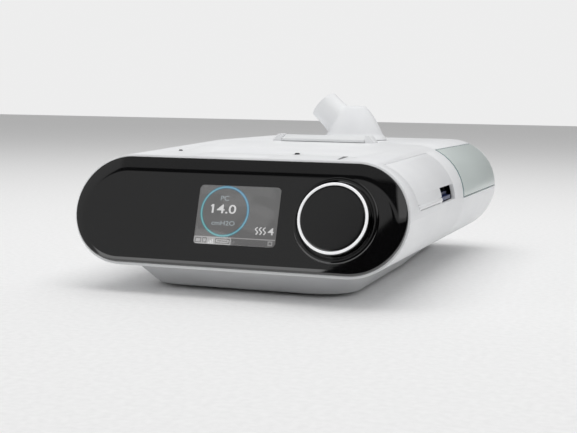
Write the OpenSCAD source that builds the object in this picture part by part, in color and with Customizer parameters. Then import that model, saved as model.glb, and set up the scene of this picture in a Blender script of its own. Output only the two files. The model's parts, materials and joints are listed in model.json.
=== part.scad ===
// Bilevel positive airway pressure machine with its heated humidifier docked behind it.
// X runs along the face to the right, Y runs from the face to the back, Z points up.
// The origin is the centre of the footprint on the desk.

/* [Body] */
// Width of the therapy unit and of the humidifier
body_w = 193; // [186:1:204]
// Depth of the therapy unit, from the lower edge of its face to the seam
unit_l = 150; // [146:1:160]
// Depth of the humidifier, from the seam to its rear wall
hum_l = 138; // [132:1:150]
// Half height of the face
face_r = 31.4; // [30.5:0.1:32.5]
// Height of the centre of the face over the desk
face_z = 44.8; // [44:0.1:46]
// Angle that the face leans back
lean = 18; // [14:1:21]
// Half height of the body at the seam
seam_r = 32.2; // [31.5:0.1:33.5]
// Height of the centre line of the body at the seam
seam_z = 46.6; // [46:0.1:47.5]
// Wall of the moulded housings
wall = 2.4; // [2:0.1:2.8]
// Length over which the rear end of the humidifier is rounded
round_l = 24; // [18:1:30]
// Amount by which the rear end draws in
round_in = 12; // [8:1:15]
// Gap between shells that meet in one assembly
seam_gap = 0.4; // [0.2:0.1:0.8]
// Gap round a piece that moves past a fixed one
move_gap = 0.3; // [0.25:0.05:0.45]

/* [Bottom pans] */
// Half width of the pan at the bottom, behind the face
pan_front_w = 60; // [56:1:62]
// Half width of the pan at the bottom, half way along
pan_mid_w = 58; // [54:1:60]
// Half width of the pan at the bottom, at the rear
pan_rear_w = 51; // [48:1:54]
// Distance from the face to the front edge of the pan's bottom
pan_front = 23; // [20:1:26]
// Distance from the rear wall to the rear edge of the pan's bottom
pan_rear = 14; // [11:1:20]
// Amount by which the pan flares from its bottom to its rim
pan_flare = 8; // [6:0.5:9]
// Distance that the bow of the pan runs forward
pan_bow = 17; // [12:1:19]
// Corner radius of the pan at the front
pan_corner = 22; // [18:1:24]

/* [Feet and screws] */
// Height of a foot under the pan
foot_h = 2; // [1.5:0.1:3]
// Radius of a foot
foot_r = 7; // [5:0.5:8]
// Depth of the seat that holds a foot
foot_seat = 0.8; // [0.5:0.1:1.2]
// Radius of a screw's shank
screw_r = 1.5; // [1.25:0.05:1.7]
// Radius of a screw's head
screw_head_r = 3; // [2.7:0.1:3.3]
// Height of a screw's head
screw_head_h = 2; // [1.6:0.1:2.4]
// Distance from the seam to the rear screws of the therapy unit
rear_screw = 13; // [11:0.5:15]
// Outer radius of a screw boss
boss_r = 4.6; // [4.2:0.1:5]
// Height of the bosses on the housing floor
boss_h = 5; // [4:0.5:5.5]
// Height of the bosses on the humidifier floor
hum_boss_h = 3; // [2.4:0.1:3.4]

/* [Front panel] */
// Width of the white rim left round the panel
rim = 1.3; // [1:0.1:1.6]
// Height of the panel over the rim
panel_t = 3.2; // [2.8:0.1:3.8]
// Width of the panel's sloping border
panel_border = 7; // [5:0.5:8]
// Thickness of the panel sheet
panel_sheet = 2; // [1.6:0.1:2.4]
// Depth of the skirt that locates the panel in the housing
skirt_d = 3; // [2:0.5:4]

/* [Display] */
// Width of the display window
lens_w = 46.7; // [42:0.1:50]
// Height of the display window
lens_h = 32.5; // [28:0.1:34]
// Middle of the display window from the middle of the face
lens_x = 1; // [-4:0.5:4]
// Height of the middle of the display window over the middle of the face
lens_v = -0.9; // [-2:0.1:2]
// Corner radius of the display window
lens_corner = 2.4; // [1.5:0.1:3.5]
// Thickness of the display window
lens_t = 1.5; // [1.2:0.1:2]
// Margin of the display module round the window
lcd_margin = 2.2; // [1.5:0.1:3]
// Thickness of the display module
lcd_t = 3.4; // [2.5:0.1:4]
// Width of the display board
disp_board_w = 118; // [112:1:124]
// Height of the display board
disp_board_h = 44; // [41:1:46]
// Distance from the middle of the dial to the right end of the display board
disp_board_over = 25.5; // [22:0.5:27]
// Thickness of every circuit board
board_t = 1.6; // [1.2:0.1:2]

/* [Control dial] */
// Distance from the right end of the body to the middle of the dial
dial_side = 39; // [36.5:0.5:42.5]
// Height of the middle of the dial over the middle of the face
dial_v = -1.6; // [-2.5:0.1:0]
// Outer radius of the bright ring on the dial
dial_r = 19.6; // [17:0.1:20.2]
// Width of the bright ring
dial_ring_w = 2; // [1.4:0.1:2.6]
// Height of the bright ring over the rim of the housing
dial_top = 9.8; // [8.5:0.1:11]
// Radius of the collar round the dial
collar_r = 23.2; // [22:0.1:24]
// Width of the collar
collar_w = 3; // [2.4:0.1:3.2]
// Height of the collar over the panel
collar_h = 1.2; // [0.8:0.1:1.6]
// Travel of the dial when it is pressed
dial_travel = 0.6; // [0.4:0.1:0.8]
// Radius of the encoder shaft
shaft_r = 3; // [2.5:0.1:3.5]
// Side of the encoder body
encoder_w = 13; // [11:0.5:15]
// Radial clearance of a shaft or a pin in its bore
pin_fit = 0.05; // [0.03:0.01:0.08]

/* [Top keys] */
// Length of each key along the face
key_w = 43; // [38:1:45]
// Depth of each key
key_d = 23; // [19:1:24]
// Distance from the face to the rear edge of the keys
key_rear = 48; // [47:0.5:50]
// Middle of the therapy key across the body
therapy_x = -10.5; // [-14:0.5:-10]
// Middle of the ramp key across the body
ramp_x = 35.5; // [35:0.5:39]
// Thickness of a key
key_t = 2.6; // [2.2:0.1:3.2]
// Travel of a key
key_travel = 0.8; // [0.5:0.1:0.9]
// Middle of the light sensor window across the body
sensor_x = 20; // [16:0.5:24]
// Middle of the status light across the body
status_x = -52; // [-56:0.5:-46]
// Distance from the face to the sensor window and the status light
sensor_y = 53; // [52:0.5:58]

/* [Side doors] */
// Distance from the seam to the rear edge of a door
door_rear = 26; // [22:0.5:30]
// Length of a door
door_l = 94; // [90:0.5:98]
// Height of the hinge line over the desk
door_hinge_z = 50.1; // [49.4:0.1:50.8]
// Radius of a door's hinge barrel
barrel_r = 1.7; // [1.5:0.05:1.9]
// Radius of a door's hinge pin
door_pin_r = 0.8; // [0.6:0.05:0.9]
// Angle up the shoulder at which a door ends
door_angle = 64; // [58:1:68]
// Length of the card notch in the right door
notch_l = 36; // [34:0.5:40]
// Height of the card notch in the right door
notch_h = 8.6; // [7.5:0.1:9.5]
// Length of a hinge lug on the housing
lug_l = 4; // [3:0.5:5]

/* [Memory card] */
// Length of the card
card_l = 32; // [30:0.5:34]
// Width of the card
card_w = 24; // [22:0.5:26]
// Thickness of the card
card_t = 2.1; // [1.8:0.1:2.4]
// Clearance of the card in its socket
card_fit = 0.3; // [0.25:0.05:0.4]
// Distance that the card stands out of its socket
card_out = 3; // [2:0.5:4]
// Distance that the card's end lies inside the body's side
card_sunk = 1.6; // [1:0.1:2.6]

/* [Air filters] */
// Length of the filter pocket
filter_l = 62; // [56:1:66]
// Height of the filter pocket
filter_h = 17; // [14:1:18]
// Thickness of the reusable foam filter
foam_t = 7; // [5:0.5:8]
// Thickness of the fine filter
fine_t = 2; // [1:0.5:3]

/* [Blower] */
// Middle of the blower across the body
blower_x = -14; // [-16:0.5:-10]
// Distance from the face to the middle of the blower
blower_y = 88; // [84:0.5:90]
// Radius of the impeller
impeller_r = 25; // [22:0.5:26]
// Number of impeller vanes
vanes = 11; // [7:1:15]
// Height of the impeller vanes
vane_h = 10; // [7:0.5:12]
// Smallest gap between the impeller and the spiral wall
spiral_gap = 2.5; // [2:0.1:3.5]
// Growth of the spiral over one turn
spiral_grow = 9.5; // [8:0.5:10.5]
// Inner height of the spiral channel
channel_h = 20; // [17:0.5:21]
// Wall of the blower housing
volute_wall = 1.8; // [1.4:0.1:2.2]
// Radius of the motor's stator
stator_r = 15; // [13:0.5:16]
// Height of the motor's stator
stator_h = 10; // [8:0.5:10.5]
// Radius of the motor shaft
rotor_shaft_r = 1.5; // [1.2:0.1:1.8]
// Height of the rubber grommets under the blower
grommet_h = 4; // [3:0.5:5]
// Half spacing of the grommets
grommet_x = 34; // [32:0.5:35]

/* [Circuit boards] */
// Width of the main board
main_board_w = 36; // [34:1:38]
// Length of the main board
main_board_l = 82; // [70:1:84]
// Distance from the face to the main board
main_board_y = 46; // [44:1:48]
// Width of the humidifier board
hum_board_w = 76; // [60:1:78]
// Depth of the humidifier board
hum_board_d = 12; // [10:0.5:13]

/* [Air port between the units] */
// Inner radius of the air port
port_r = 8.5; // [7.5:0.1:9.2]
// Wall of the air tube
port_wall = 1.5; // [1.2:0.1:1.8]
// Thickness of the seal lip round the port
port_seal = 2; // [1.5:0.1:2.5]
// Half spacing of the tabs that dock the two units
dock_tab_x = 66; // [60:1:70]

/* [Humidifier tank] */
// Height of the parting line between the base and the lid
part_z = 46.6; // [46:0.1:47.5]
// Clearance of the tank in the base
tank_gap = 1.2; // [0.8:0.1:1.6]
// Wall of the tank
tank_wall = 2; // [1.6:0.1:2.4]
// Distance from the seam to the front of the tank
tank_front = 9; // [8:0.5:11]
// Distance from the rear wall to the back of the tank
tank_back = 13; // [12:0.5:16]
// Height of the rim of the tank over the desk
tank_top = 60; // [57:0.5:62]
// Thickness of the tank lid
tank_lid_t = 2.2; // [1.8:0.1:2.6]
// Half size of the heater plate
heater_w = 38; // [34:1:40]
// Thickness of the heater plate
heater_t = 2.4; // [2:0.1:3]
// Thickness of the insulating tray under the heater plate
tray_t = 1.6; // [1.2:0.1:2]
// Edge of the insulating tray round the heater plate
tray_edge = 4; // [3:0.5:5]

/* [Humidifier lid] */
// Distance from the seam to the window
window_gap = 2; // [1.6:0.1:2.4]
// Distance from the rear wall to the back of the window
window_back = 20; // [16:1:24]
// Angle up the shoulder at which the window ends
window_angle = 66; // [60:1:70]
// Radius of the rear hinge barrel
lid_barrel_r = 2.6; // [2.2:0.1:3]
// Radius of the rear hinge pin
lid_pin_r = 1.2; // [1:0.1:1.4]
// Half distance between the two lid knuckles
knuckle_x = 30; // [24:1:34]
// Length of a knuckle
knuckle_l = 14; // [10:1:16]

/* [Lid latch] */
// Width of the latch lip
latch_w = 56; // [50:1:60]
// Middle of the latch lip across the body
latch_x = 3.5; // [-2:0.5:6]
// Thickness of the lip
latch_t = 4.4; // [3.8:0.1:4.8]
// Radius of the latch pin
latch_pin_r = 0.9; // [0.7:0.1:1.1]
// Distance from the seam to the latch pin
latch_pin_y = 9; // [8:0.1:11]

/* [Elbow] */
// Middle of the elbow across the body
elbow_x = 9; // [4:0.5:12]
// Distance from the seam to the middle of the elbow
elbow_y = 57; // [50:0.5:62]
// Outer radius of the hose end
tube_r = 11; // [10:0.1:11.2]
// Inner radius of the elbow
tube_bore = 9; // [8:0.1:9.4]
// Radius of the arc that shapes the flank of the elbow's dome
dome_r = 82; // [60:1:100]
// Radius of the dome on the lid
dome_foot_r = 19.8; // [19:0.1:20.4]
// Radius of the dome where its flank meets its crown
dome_neck_r = 7; // [6:0.5:9]
// Height of that edge over the lid
dome_neck_z = 21; // [20:0.1:22]
// Height of the crown over that edge
dome_crown = 1; // [0.6:0.1:1.6]
// Height of the middle of the hose end's axis where it starts over the lid
dome_z = 3; // [2:0.1:5]
// Length of the hose end from the elbow's axis
tube_l = 31.5; // [30:0.5:33]
// Length of the plain end that the hose slides on
hose_end_l = 14.5; // [12:0.5:15]
// Angle of the hose end over the lid
tube_angle = 42; // [38:1:45]
// Radius of the elbow's foot on the lid
elbow_foot_r = 22; // [20:0.5:24]
// Radius of the neck that turns in the lid
neck_r = 12.4; // [11.6:0.1:12.8]
// Length of the neck below the lid's outer face
neck_l = 9; // [7:0.5:10]

/* [Power inlet] */
// Middle of the power inlet across the body
inlet_x = 52; // [46:1:56]
// Height of the power inlet over the desk
inlet_z = 33; // [31:0.5:36]
// Radius of the inlet's hole
inlet_r = 3.2; // [2.8:0.1:3.6]
// Depth of the inlet's hole
inlet_d = 9; // [8:0.5:10]

/* [Hidden] */
$fn = 64;
loft_fn = 48;
thin = 0.02;
cut = 1;

// Heights of the body at its two ends.
face_rise = face_r * sin(lean);
face_low_z = face_z - face_r * cos(lean);
face_top_z = face_z + face_r * cos(lean);
seam_low_z = seam_z - seam_r;
seam_top_z = seam_z + seam_r;

dial_x = body_w / 2 - dial_side;
disp_board_x = dial_x + disp_board_over - disp_board_w / 2;

// The overall length runs from the front of the dial to the lid hinge.
dial_low_v = dial_v - dial_r;
dial_front = dial_top * cos(lean) - dial_low_v * sin(lean) - face_rise;
hinge_out = 0.4;
overall_l = dial_front + unit_l + hum_l + hinge_out + lid_barrel_r;
y_face = dial_front - overall_l / 2;
y_seam = y_face + unit_l;
y_rear = y_seam + hum_l;
face_top_y = y_face + 2 * face_rise;

function slope_t(y) = (y - face_top_y) / (y_seam - face_top_y);
function top_z(y) = face_top_z + slope_t(y) * (seam_top_z - face_top_z);
function low_z(y) = face_low_z + (y - y_face) / unit_l * (seam_low_z - face_low_z);

// Height of the inner skin of the therapy unit's floor, which curves up at the sides.
function skin_z(x, y) =
    let (out_r = (top_z(y) - low_z(y)) / 2,
         in_r = out_r - wall,
         dx = max(0, abs(x) - (body_w / 2 - out_r)))
    (top_z(y) + low_z(y)) / 2 - sqrt(max(0, in_r * in_r - dx * dx));

// Pan heights.
pan_z = foot_h;
pan_rim_z = min(face_low_z, seam_low_z) + 1.6;

// Screw places, measured from the face.
screw_spots = [[-46, 36], [46, 36], [-30, unit_l - rear_screw], [46, unit_l - rear_screw]];
hum_screw_spots = [[-48, 14], [48, 14], [-34, 116], [34, 116]];
foot_spots = [[-34, 40], [34, 40], [-46, unit_l - 28], [46, unit_l - 28]];
hum_foot_spots = [[-46, 34], [46, 34], [-38, 100], [38, 100]];

// Door places.
door_y1 = y_seam - door_rear;
door_y0 = door_y1 - door_l;
door_axis_x = body_w / 2 - barrel_r;
notch_y0 = door_y1 - notch_l;
notch_z0 = door_hinge_z - barrel_r;
notch_z1 = notch_z0 + notch_h;
barrel_y0 = door_y0 + lug_l + move_gap;
cap_x = body_w / 2 - seam_r;

// Blower heights, measured from the floor of the housing.
floor_z = max(face_low_z, seam_low_z) + wall;
blower_cy = y_face + blower_y;
plate_z = floor_z + grommet_h;
cup_z = plate_z + 2.5;
channel_z = cup_z + stator_h + 3;
channel_top = channel_z + channel_h;
port_z = channel_z + channel_h / 2;
spiral_r = impeller_r + spiral_gap;
port_x = blower_x - spiral_r + port_r - 2;

main_board_x0 = blower_x + grommet_x + 8;
tray_leg_x = main_board_x0 + main_board_w + 6;

// Humidifier heights.
hum_floor_z = seam_low_z + wall;
tray_z = hum_floor_z;
heater_z = tray_z + tray_t;
tank_z = heater_z + heater_t;
heater_cy = (y_seam + tank_front + y_rear - tank_back) / 2;
lid_top_z = seam_top_z;
elbow_cy = y_seam + elbow_y;
lid_axis_y = y_rear + hinge_out;
neck_low_z = lid_top_z - neck_l;
tank_seal_t = 1.2;
collar_top = neck_low_z - 3.4;
clip_t = 1.4;

// Flat shapes.
module stadium(w, r) {
    square([w - 2 * r, 2 * r], center = true);
    for (side = [-1, 1])
        translate([side * (w / 2 - r), 0])
            circle(r, $fn = loft_fn);
}

module round_rect(w, h, r) {
    square([w - 2 * r, h], center = true);
    square([w, h - 2 * r], center = true);
    for (sx = [-1, 1], sy = [-1, 1])
        translate([sx * (w / 2 - r), sy * (h / 2 - r)])
            circle(r);
}

module ring(outer, inner, h) {
    difference() {
        cylinder(r = outer, h = h);
        translate([0, 0, -cut])
            cylinder(r = inner, h = h + 2 * cut);
    }
}

// Places children on the face: local X to the right, local Y up the face,
// local Z out of the face, with zero at the front rim of the housing.
module on_face(x = 0, v = 0, out = 0) {
    translate([0, y_face + face_rise, face_z])
        rotate([90 - lean, 0, 0])
            translate([x, v, out])
                children();
}

// Upright slice of the body, with its back at y.
module slice(y, z, w, r, t) {
    translate([0, y, z])
        rotate([90, 0, 0])
            linear_extrude(t)
                stadium(w, r);
}

// Therapy unit, lofted from the leaning face to the upright seam.
module unit_loft(inset = 0, front = 0, back = 0) {
    hull() {
        on_face(0, 0, -0.3)
            linear_extrude(0.3 + front)
                stadium(body_w - 2 * inset, face_r - inset);
        slice(y_seam + back, seam_z, body_w - 2 * inset, seam_r - inset, 1 + back);
    }
}

// Humidifier, with its rear end drawn in along a quarter ellipse.
module hum_loft(inset = 0, front = 0) {
    hull() {
        slice(y_rear - inset - round_l, seam_z, body_w - 2 * inset, seam_r - inset,
              hum_l - inset - round_l + front);
        for (a = [22.5 : 22.5 : 90])
            let (in_by = inset + round_in * (1 - cos(a)))
                slice(y_rear - inset - round_l * (1 - sin(a)), seam_z,
                      body_w - 2 * in_by, seam_r - in_by, 1);
    }
}

// Boat-shaped pan under both units, drawn in by inset.
module pan_loft(inset = 0, top_z = pan_rim_z) {
    y0 = y_face + pan_front;
    y2 = y_rear - pan_rear;
    y1 = (y0 + y2) / 2;
    r = pan_corner - inset;
    hull() {
        for (side = [-1, 1]) {
            translate([side * (pan_front_w - pan_corner), y0 + pan_corner, pan_z + inset])
                cylinder(r = r, h = thin, $fn = 40);
            translate([side * (pan_mid_w - 30), y1, pan_z + inset])
                cylinder(r = 30 - inset, h = thin, $fn = 40);
            translate([side * (pan_rear_w - 14), y2 - 14, pan_z + inset])
                cylinder(r = 14 - inset, h = thin, $fn = 32);
            translate([side * (pan_front_w - pan_corner + pan_flare),
                       y0 + pan_corner - pan_bow, top_z])
                cylinder(r = r, h = thin, $fn = 40);
            translate([side * (pan_mid_w - 30 + pan_flare), y1, top_z])
                cylinder(r = 30 - inset, h = thin, $fn = 40);
            translate([side * (pan_rear_w - 14 + pan_flare), y2 - 14 + pan_rear - 4, top_z])
                cylinder(r = 14 - inset, h = thin, $fn = 32);
        }
    }
}

module below(z) {
    translate([-body_w, y_face - 50, z - 200])
        cube([2 * body_w, overall_l + 100, 200]);
}

module above(z) {
    translate([-body_w, y_face - 50, z])
        cube([2 * body_w, overall_l + 100, 200]);
}

module behind(y) {
    translate([-body_w, y, -50])
        cube([2 * body_w, overall_l, 200]);
}

module before(y) {
    translate([-body_w, y - overall_l, -50])
        cube([2 * body_w, overall_l, 200]);
}

// Side doors
// Region of the right side that a door covers, seen along the body.
module door_profile(gap) {
    polygon([
        [cap_x, seam_z],
        [cap_x + 60 * cos(door_angle + gap), seam_z + 60 * sin(door_angle + gap)],
        [body_w / 2 + 20, seam_z + 50],
        [body_w / 2 + 20, door_hinge_z],
        [cap_x, door_hinge_z]
    ]);
}

module door_region(gap, angle_gap, low) {
    translate([0, door_y1 + gap, 0])
        rotate([90, 0, 0])
            linear_extrude(door_l + 2 * gap)
                difference() {
                    door_profile(angle_gap);
                    translate([0, -100])
                        square([body_w, 100 + door_hinge_z - low]);
                }
}

module along_hinge(y0, y1, r) {
    translate([door_axis_x, y1, door_hinge_z])
        rotate([90, 0, 0])
            cylinder(r = r, h = y1 - y0);
}

// Opening in the right side of the housing.
module door_opening() {
    door_region(move_gap, 0.7, 0);
    along_hinge(door_y0 - move_gap, door_y1 + move_gap, barrel_r + move_gap);
    translate([door_axis_x - barrel_r, notch_y0, notch_z0 - move_gap])
        cube([barrel_r + 20, notch_l + move_gap, barrel_r]);
}

// Lug that carries an end of a hinge pin.
module door_lug(y0) {
    difference() {
        union() {
            along_hinge(y0, y0 + lug_l, barrel_r);
            translate([door_axis_x - barrel_r, y0, door_hinge_z - barrel_r - 2])
                cube([2 * barrel_r - 0.3, lug_l, barrel_r + 2]);
        }
        along_hinge(y0 - cut, y0 + lug_l + cut, door_pin_r + 0.02);
    }
}

// A door's hinge runs from its front edge to y_end.
function barrel_y1(y_end) = y_end - lug_l - 2 * move_gap;

module door_lugs(y_end) {
    door_lug(door_y0);
    door_lug(barrel_y1(y_end) + move_gap);
}

module door_leaf(y_end) {
    difference() {
        intersection() {
            unit_loft();
            door_region(0, 0, 0);
        }
        unit_loft(wall - 0.2, cut, cut);
        for (y = [barrel_y0 - lug_l - move_gap - cut, barrel_y1(y_end)])
            along_hinge(y, y + lug_l + 2 * move_gap + cut, barrel_r + move_gap);
    }
}

module door_barrel(y_end) {
    along_hinge(barrel_y0, barrel_y1(y_end), barrel_r);
}

// Main housing of the therapy unit
module main_housing() {
    color("#eeeff0")
    difference() {
        union() {
            difference() {
                unit_loft();
                unit_loft(wall, cut, cut);
                door_opening();
                mirror([1, 0, 0])
                    door_opening();
                translate([blower_x, blower_cy, 0])
                    linear_extrude(floor_z + cut)
                        round_rect(2 * grommet_x - 12, 2 * grommet_x - 12, 6);
                for (x = [therapy_x, ramp_x])
                    key_prism(x, move_gap, 12);
                translate([sensor_x, y_face + sensor_y, top_z(y_face + sensor_y) - wall - 2])
                    linear_extrude(wall + 4)
                        round_rect(3 + 2 * pin_fit, 7 + 2 * pin_fit, 1);
                translate([status_x, y_face + sensor_y, top_z(y_face + sensor_y) - wall - 2])
                    cylinder(r = 1.2 + pin_fit, h = wall + 4);
            }
            door_lugs(notch_y0);
            mirror([1, 0, 0])
                door_lugs(door_y1);
            for (p = screw_spots)
                translate([p[0], y_face + p[1], low_z(y_face + p[1]) + wall / 2])
                    cylinder(r = boss_r, h = boss_h);
        }
        for (p = screw_spots)
            translate([p[0], y_face + p[1], 0])
                cylinder(r = screw_r + 0.02, h = low_z(y_face + p[1]) + wall + boss_h - 1.6);
    }
}

// Pan under the therapy unit
module pan_shell() {
    difference() {
        pan_loft();
        unit_loft(-0.02, cut, cut);
        hum_loft(-0.02, 2);
        pan_loft(wall, pan_rim_z + 6);
    }
}

module pan_boss(p, y0, roof) {
    translate([p[0], y0 + p[1], pan_z + wall / 2])
        cylinder(r = boss_r, h = roof - pan_z - wall / 2);
}

module pan_holes(screws, feet, y0) {
    for (p = screws)
        translate([p[0], y0 + p[1], 0]) {
            cylinder(r = screw_r + 0.3, h = 40);
            cylinder(r = screw_head_r + 0.3, h = pan_z + screw_head_h + 2);
        }
    for (p = feet)
        translate([p[0], y0 + p[1], -cut])
            cylinder(r = foot_r + 0.05, h = pan_z + foot_seat + cut);
}

// Louvres that let the electronics breathe through the pan.
module pan_vents(x, y) {
    for (i = [-3 : 3])
        translate([x, y + 6 * i, 0])
            linear_extrude(pan_z + wall + cut)
                round_rect(34, 2.2, 1);
}

module bottom_pan() {
    color("#c3c6c8")
    difference() {
        union() {
            difference() {
                pan_loft();
                unit_loft(-0.02, cut, cut + 4);
                difference() {
                    pan_loft(wall, pan_rim_z + 6);
                    behind(y_seam - seam_gap - wall);
                }
                behind(y_seam - seam_gap);
            }
            for (p = screw_spots)
                pan_boss(p, y_face, low_z(y_face + p[1]) - 0.15);
        }
        pan_holes(screw_spots, foot_spots, y_face);
        pan_vents(0, y_face + 84);
    }
}

// Wall that closes the back of the therapy unit
module port_hole(y, r, l) {
    translate([port_x, y + l, port_z])
        rotate([90, 0, 0])
            cylinder(r = r, h = l);
}

module dock_plate() {
    color("#3a3d40")
    difference() {
        slice(y_seam - seam_gap, seam_z, body_w - 2 * wall - 0.2, seam_r - wall - 0.1, wall);
        port_hole(y_seam - wall - 2, port_r + port_wall + 0.05, wall + 4);
        port_hole(y_seam - 2, port_r + port_wall + port_seal + 0.05, 4);
        for (side = [-1, 1])
            translate([side * dock_tab_x - 5, y_seam - wall - 2, seam_z - 6])
                cube([10, wall + 4, 12]);
        translate([20, y_seam - wall - 2, port_z - 9])
            cube([26, wall + 4, 8]);
    }
}

// Front panel
module screen_hole(grow) {
    translate([lens_x, lens_v])
        round_rect(lens_w + 2 * grow, lens_h + 2 * grow, lens_corner + grow);
}

board_out = -(lcd_t + 1.6);
post_r = 2.6;
left_post = lens_x - lens_w / 2 - lcd_margin - post_r - 0.6 - disp_board_x;
post_spots = [[left_post, 16], [left_post, -16], [30, 16], [30, -17]];
skirt_in = wall + 0.3 + skirt_d * tan(lean);

module front_panel() {
    w = body_w - 2 * rim;
    r = face_r - rim;
    color("#101114")
    on_face()
        difference() {
            union() {
                difference() {
                    hull() {
                        linear_extrude(0.6)
                            stadium(w, r);
                        translate([0, 0, panel_t * 0.6])
                            linear_extrude(thin)
                                stadium(w - panel_border * 0.35, r - panel_border * 0.175);
                        translate([0, 0, panel_t - thin])
                            linear_extrude(thin)
                                stadium(w - 1.6 * panel_border, r - 0.8 * panel_border);
                    }
                    translate([0, 0, -cut])
                        linear_extrude(panel_t - panel_sheet + cut)
                            stadium(w - 2 * panel_border, r - panel_border);
                }
                difference() {
                    translate([0, 0, -skirt_d])
                        linear_extrude(skirt_d + 0.3)
                            stadium(body_w - 2 * skirt_in, face_r - skirt_in);
                    translate([0, 0, -skirt_d - cut])
                        linear_extrude(skirt_d + 2 * cut)
                            stadium(body_w - 2 * skirt_in - 3, face_r - skirt_in - 1.5);
                }
                for (p = post_spots)
                    translate([disp_board_x + p[0], p[1], board_out])
                        cylinder(r = post_r, h = panel_t - panel_sheet - board_out + 0.4);
            }
            translate([0, 0, -cut])
                linear_extrude(10)
                    screen_hole(-1.2);
            translate([0, 0, panel_t - lens_t])
                linear_extrude(10)
                    screen_hole(0.1);
            translate([dial_x, dial_v, -cut])
                cylinder(r = encoder_w / 2 + 2.5, h = 10);
            translate([dial_x, dial_v, panel_t - 1])
                cylinder(r = collar_r + 0.05, h = 10);
            for (p = post_spots)
                translate([disp_board_x + p[0], p[1], board_out - cut])
                    cylinder(r = 1, h = 4 + cut);
        }
}

module display_lens() {
    color("#20262c", 0.6)
    on_face(0, 0, panel_t - lens_t)
        linear_extrude(lens_t)
            screen_hole(0);
}

module display_module() {
    color("#9aa0a3")
    on_face(lens_x, lens_v, board_out)
        union() {
            linear_extrude(lcd_t + 1)
                round_rect(lens_w + 2 * lcd_margin, lens_h + 2 * lcd_margin, 1);
            linear_extrude(panel_t - lens_t - board_out)
                round_rect(lens_w - 2 * lcd_margin - 1, lens_h - 2 * lcd_margin - 1, 1);
        }
}

module display_board() {
    color("#1f5d3a")
    on_face(disp_board_x, 0, board_out - board_t)
        difference() {
            linear_extrude(board_t)
                round_rect(disp_board_w, disp_board_h, 3);
            for (p = post_spots)
                translate([p[0], p[1], -cut])
                    cylinder(r = 1.1, h = board_t + 2 * cut);
        }
}

// Control dial
module dial_collar() {
    color("#17181b")
    on_face(dial_x, dial_v, panel_t - 1)
        difference() {
            union() {
                cylinder(r = collar_r, h = 1 + collar_h * 0.5);
                translate([0, 0, 1 + collar_h * 0.5])
                    cylinder(r1 = collar_r, r2 = collar_r - 0.8, h = collar_h * 0.5);
            }
            translate([0, 0, 1])
                cylinder(r = collar_r - collar_w, h = 10);
            translate([0, 0, -cut])
                cylinder(r = encoder_w / 2 + 2.5, h = 10);
        }
}

encoder_top = panel_t - 0.5;

module encoder() {
    color("#6b6f73")
    on_face(dial_x, dial_v, board_out)
        difference() {
            union() {
                translate([-encoder_w / 2, -encoder_w / 2, 0])
                    cube([encoder_w, encoder_w, encoder_top - board_out - 2]);
                cylinder(r = shaft_r + 1.8, h = encoder_top - board_out);
            }
            translate([0, 0, 1.5])
                cylinder(r = shaft_r + pin_fit, h = 30);
        }
}

shaft_bottom = board_out + 1.5 + dial_travel + 0.2;

module encoder_shaft() {
    color("#c9ccd0")
    on_face(dial_x, dial_v, shaft_bottom)
        cylinder(r = shaft_r, h = dial_top - 2.2 - shaft_bottom);
}

knob_low = panel_t + dial_travel + 0.3;

module dial_knob() {
    color("#1b1c1f")
    on_face(dial_x, dial_v, knob_low)
        difference() {
            rotate_extrude()
                polygon([
                    [0, 0],
                    [dial_r - 0.9, 0],
                    [dial_r, 1.2],
                    [dial_r, dial_top - knob_low - 2.4],
                    [dial_r - dial_ring_w, dial_top - knob_low - 2.4],
                    [dial_r - dial_ring_w, dial_top - knob_low - 0.6],
                    [dial_r - dial_ring_w - 0.5, dial_top - knob_low - 0.3],
                    [0, dial_top - knob_low - 0.3]
                ]);
            translate([0, 0, -cut])
                ring(dial_r - 2.2, shaft_r + 2.2, cut + dial_top - knob_low - 3.4);
            translate([0, 0, -cut])
                cylinder(r = shaft_r + pin_fit, h = cut + dial_top - knob_low - 2.1);
        }
}

module dial_ring() {
    color("#f2f3f4")
    on_face(dial_x, dial_v, dial_top - 2.4)
        rotate_extrude()
            polygon([
                [dial_r - dial_ring_w + 0.01, 0],
                [dial_r, 0],
                [dial_r, 1.7],
                [dial_r - 0.7, 2.4],
                [dial_r - dial_ring_w + 0.6, 2.4],
                [dial_r - dial_ring_w + 0.01, 1.9]
            ]);
}

// Keys on the top
module key_prism(x, gap, depth) {
    y = y_face + key_rear - key_d / 2;
    translate([x, y, top_z(y) - depth])
        linear_extrude(depth + 6)
            round_rect(key_w + 2 * gap, key_d + 2 * gap, 2.5 + gap);
}

switch_h = 3.4;
key_stem = 1.6;
key_y = y_face + key_rear - key_d / 2;
key_floor = top_z(key_y) - key_t;
switch_top = key_floor - key_stem - key_travel - 0.15;

module key_cap(x) {
    intersection() {
        unit_loft();
        key_prism(x, 0, key_t);
    }
    translate([x, key_y, key_floor - key_stem])
        cylinder(r = 2, h = key_stem + 0.5);
}

module therapy_button() {
    color("#e9eaeb")
    key_cap(therapy_x);
}

module ramp_button() {
    color("#e9eaeb")
    key_cap(ramp_x);
}

module key_board() {
    z = switch_top - switch_h;
    x0 = therapy_x - 16;
    x1 = ramp_x + 16;
    post_y = key_y + key_d / 2 + 6;
    color("#1f5d3a")
    union() {
        translate([x0, key_y - 6, z - board_t])
            cube([x1 - x0, key_d / 2 + 16, board_t]);
        for (x = [therapy_x, ramp_x])
            translate([x - 3, key_y - 3, z])
                cube([6, 6, switch_h]);
        for (x = [x0 + 4, x1 - 4])
            translate([x, post_y, z - 0.1])
                cylinder(r = 2.2, h = top_z(post_y) - wall - z - 0.3);
    }
}

module light_sensor_window() {
    y = y_face + sensor_y;
    color("#1a1d22")
    intersection() {
        unit_loft();
        translate([sensor_x, y, top_z(y) - wall - 0.6])
            linear_extrude(wall + 4)
                round_rect(3, 7, 1);
    }
}

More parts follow.
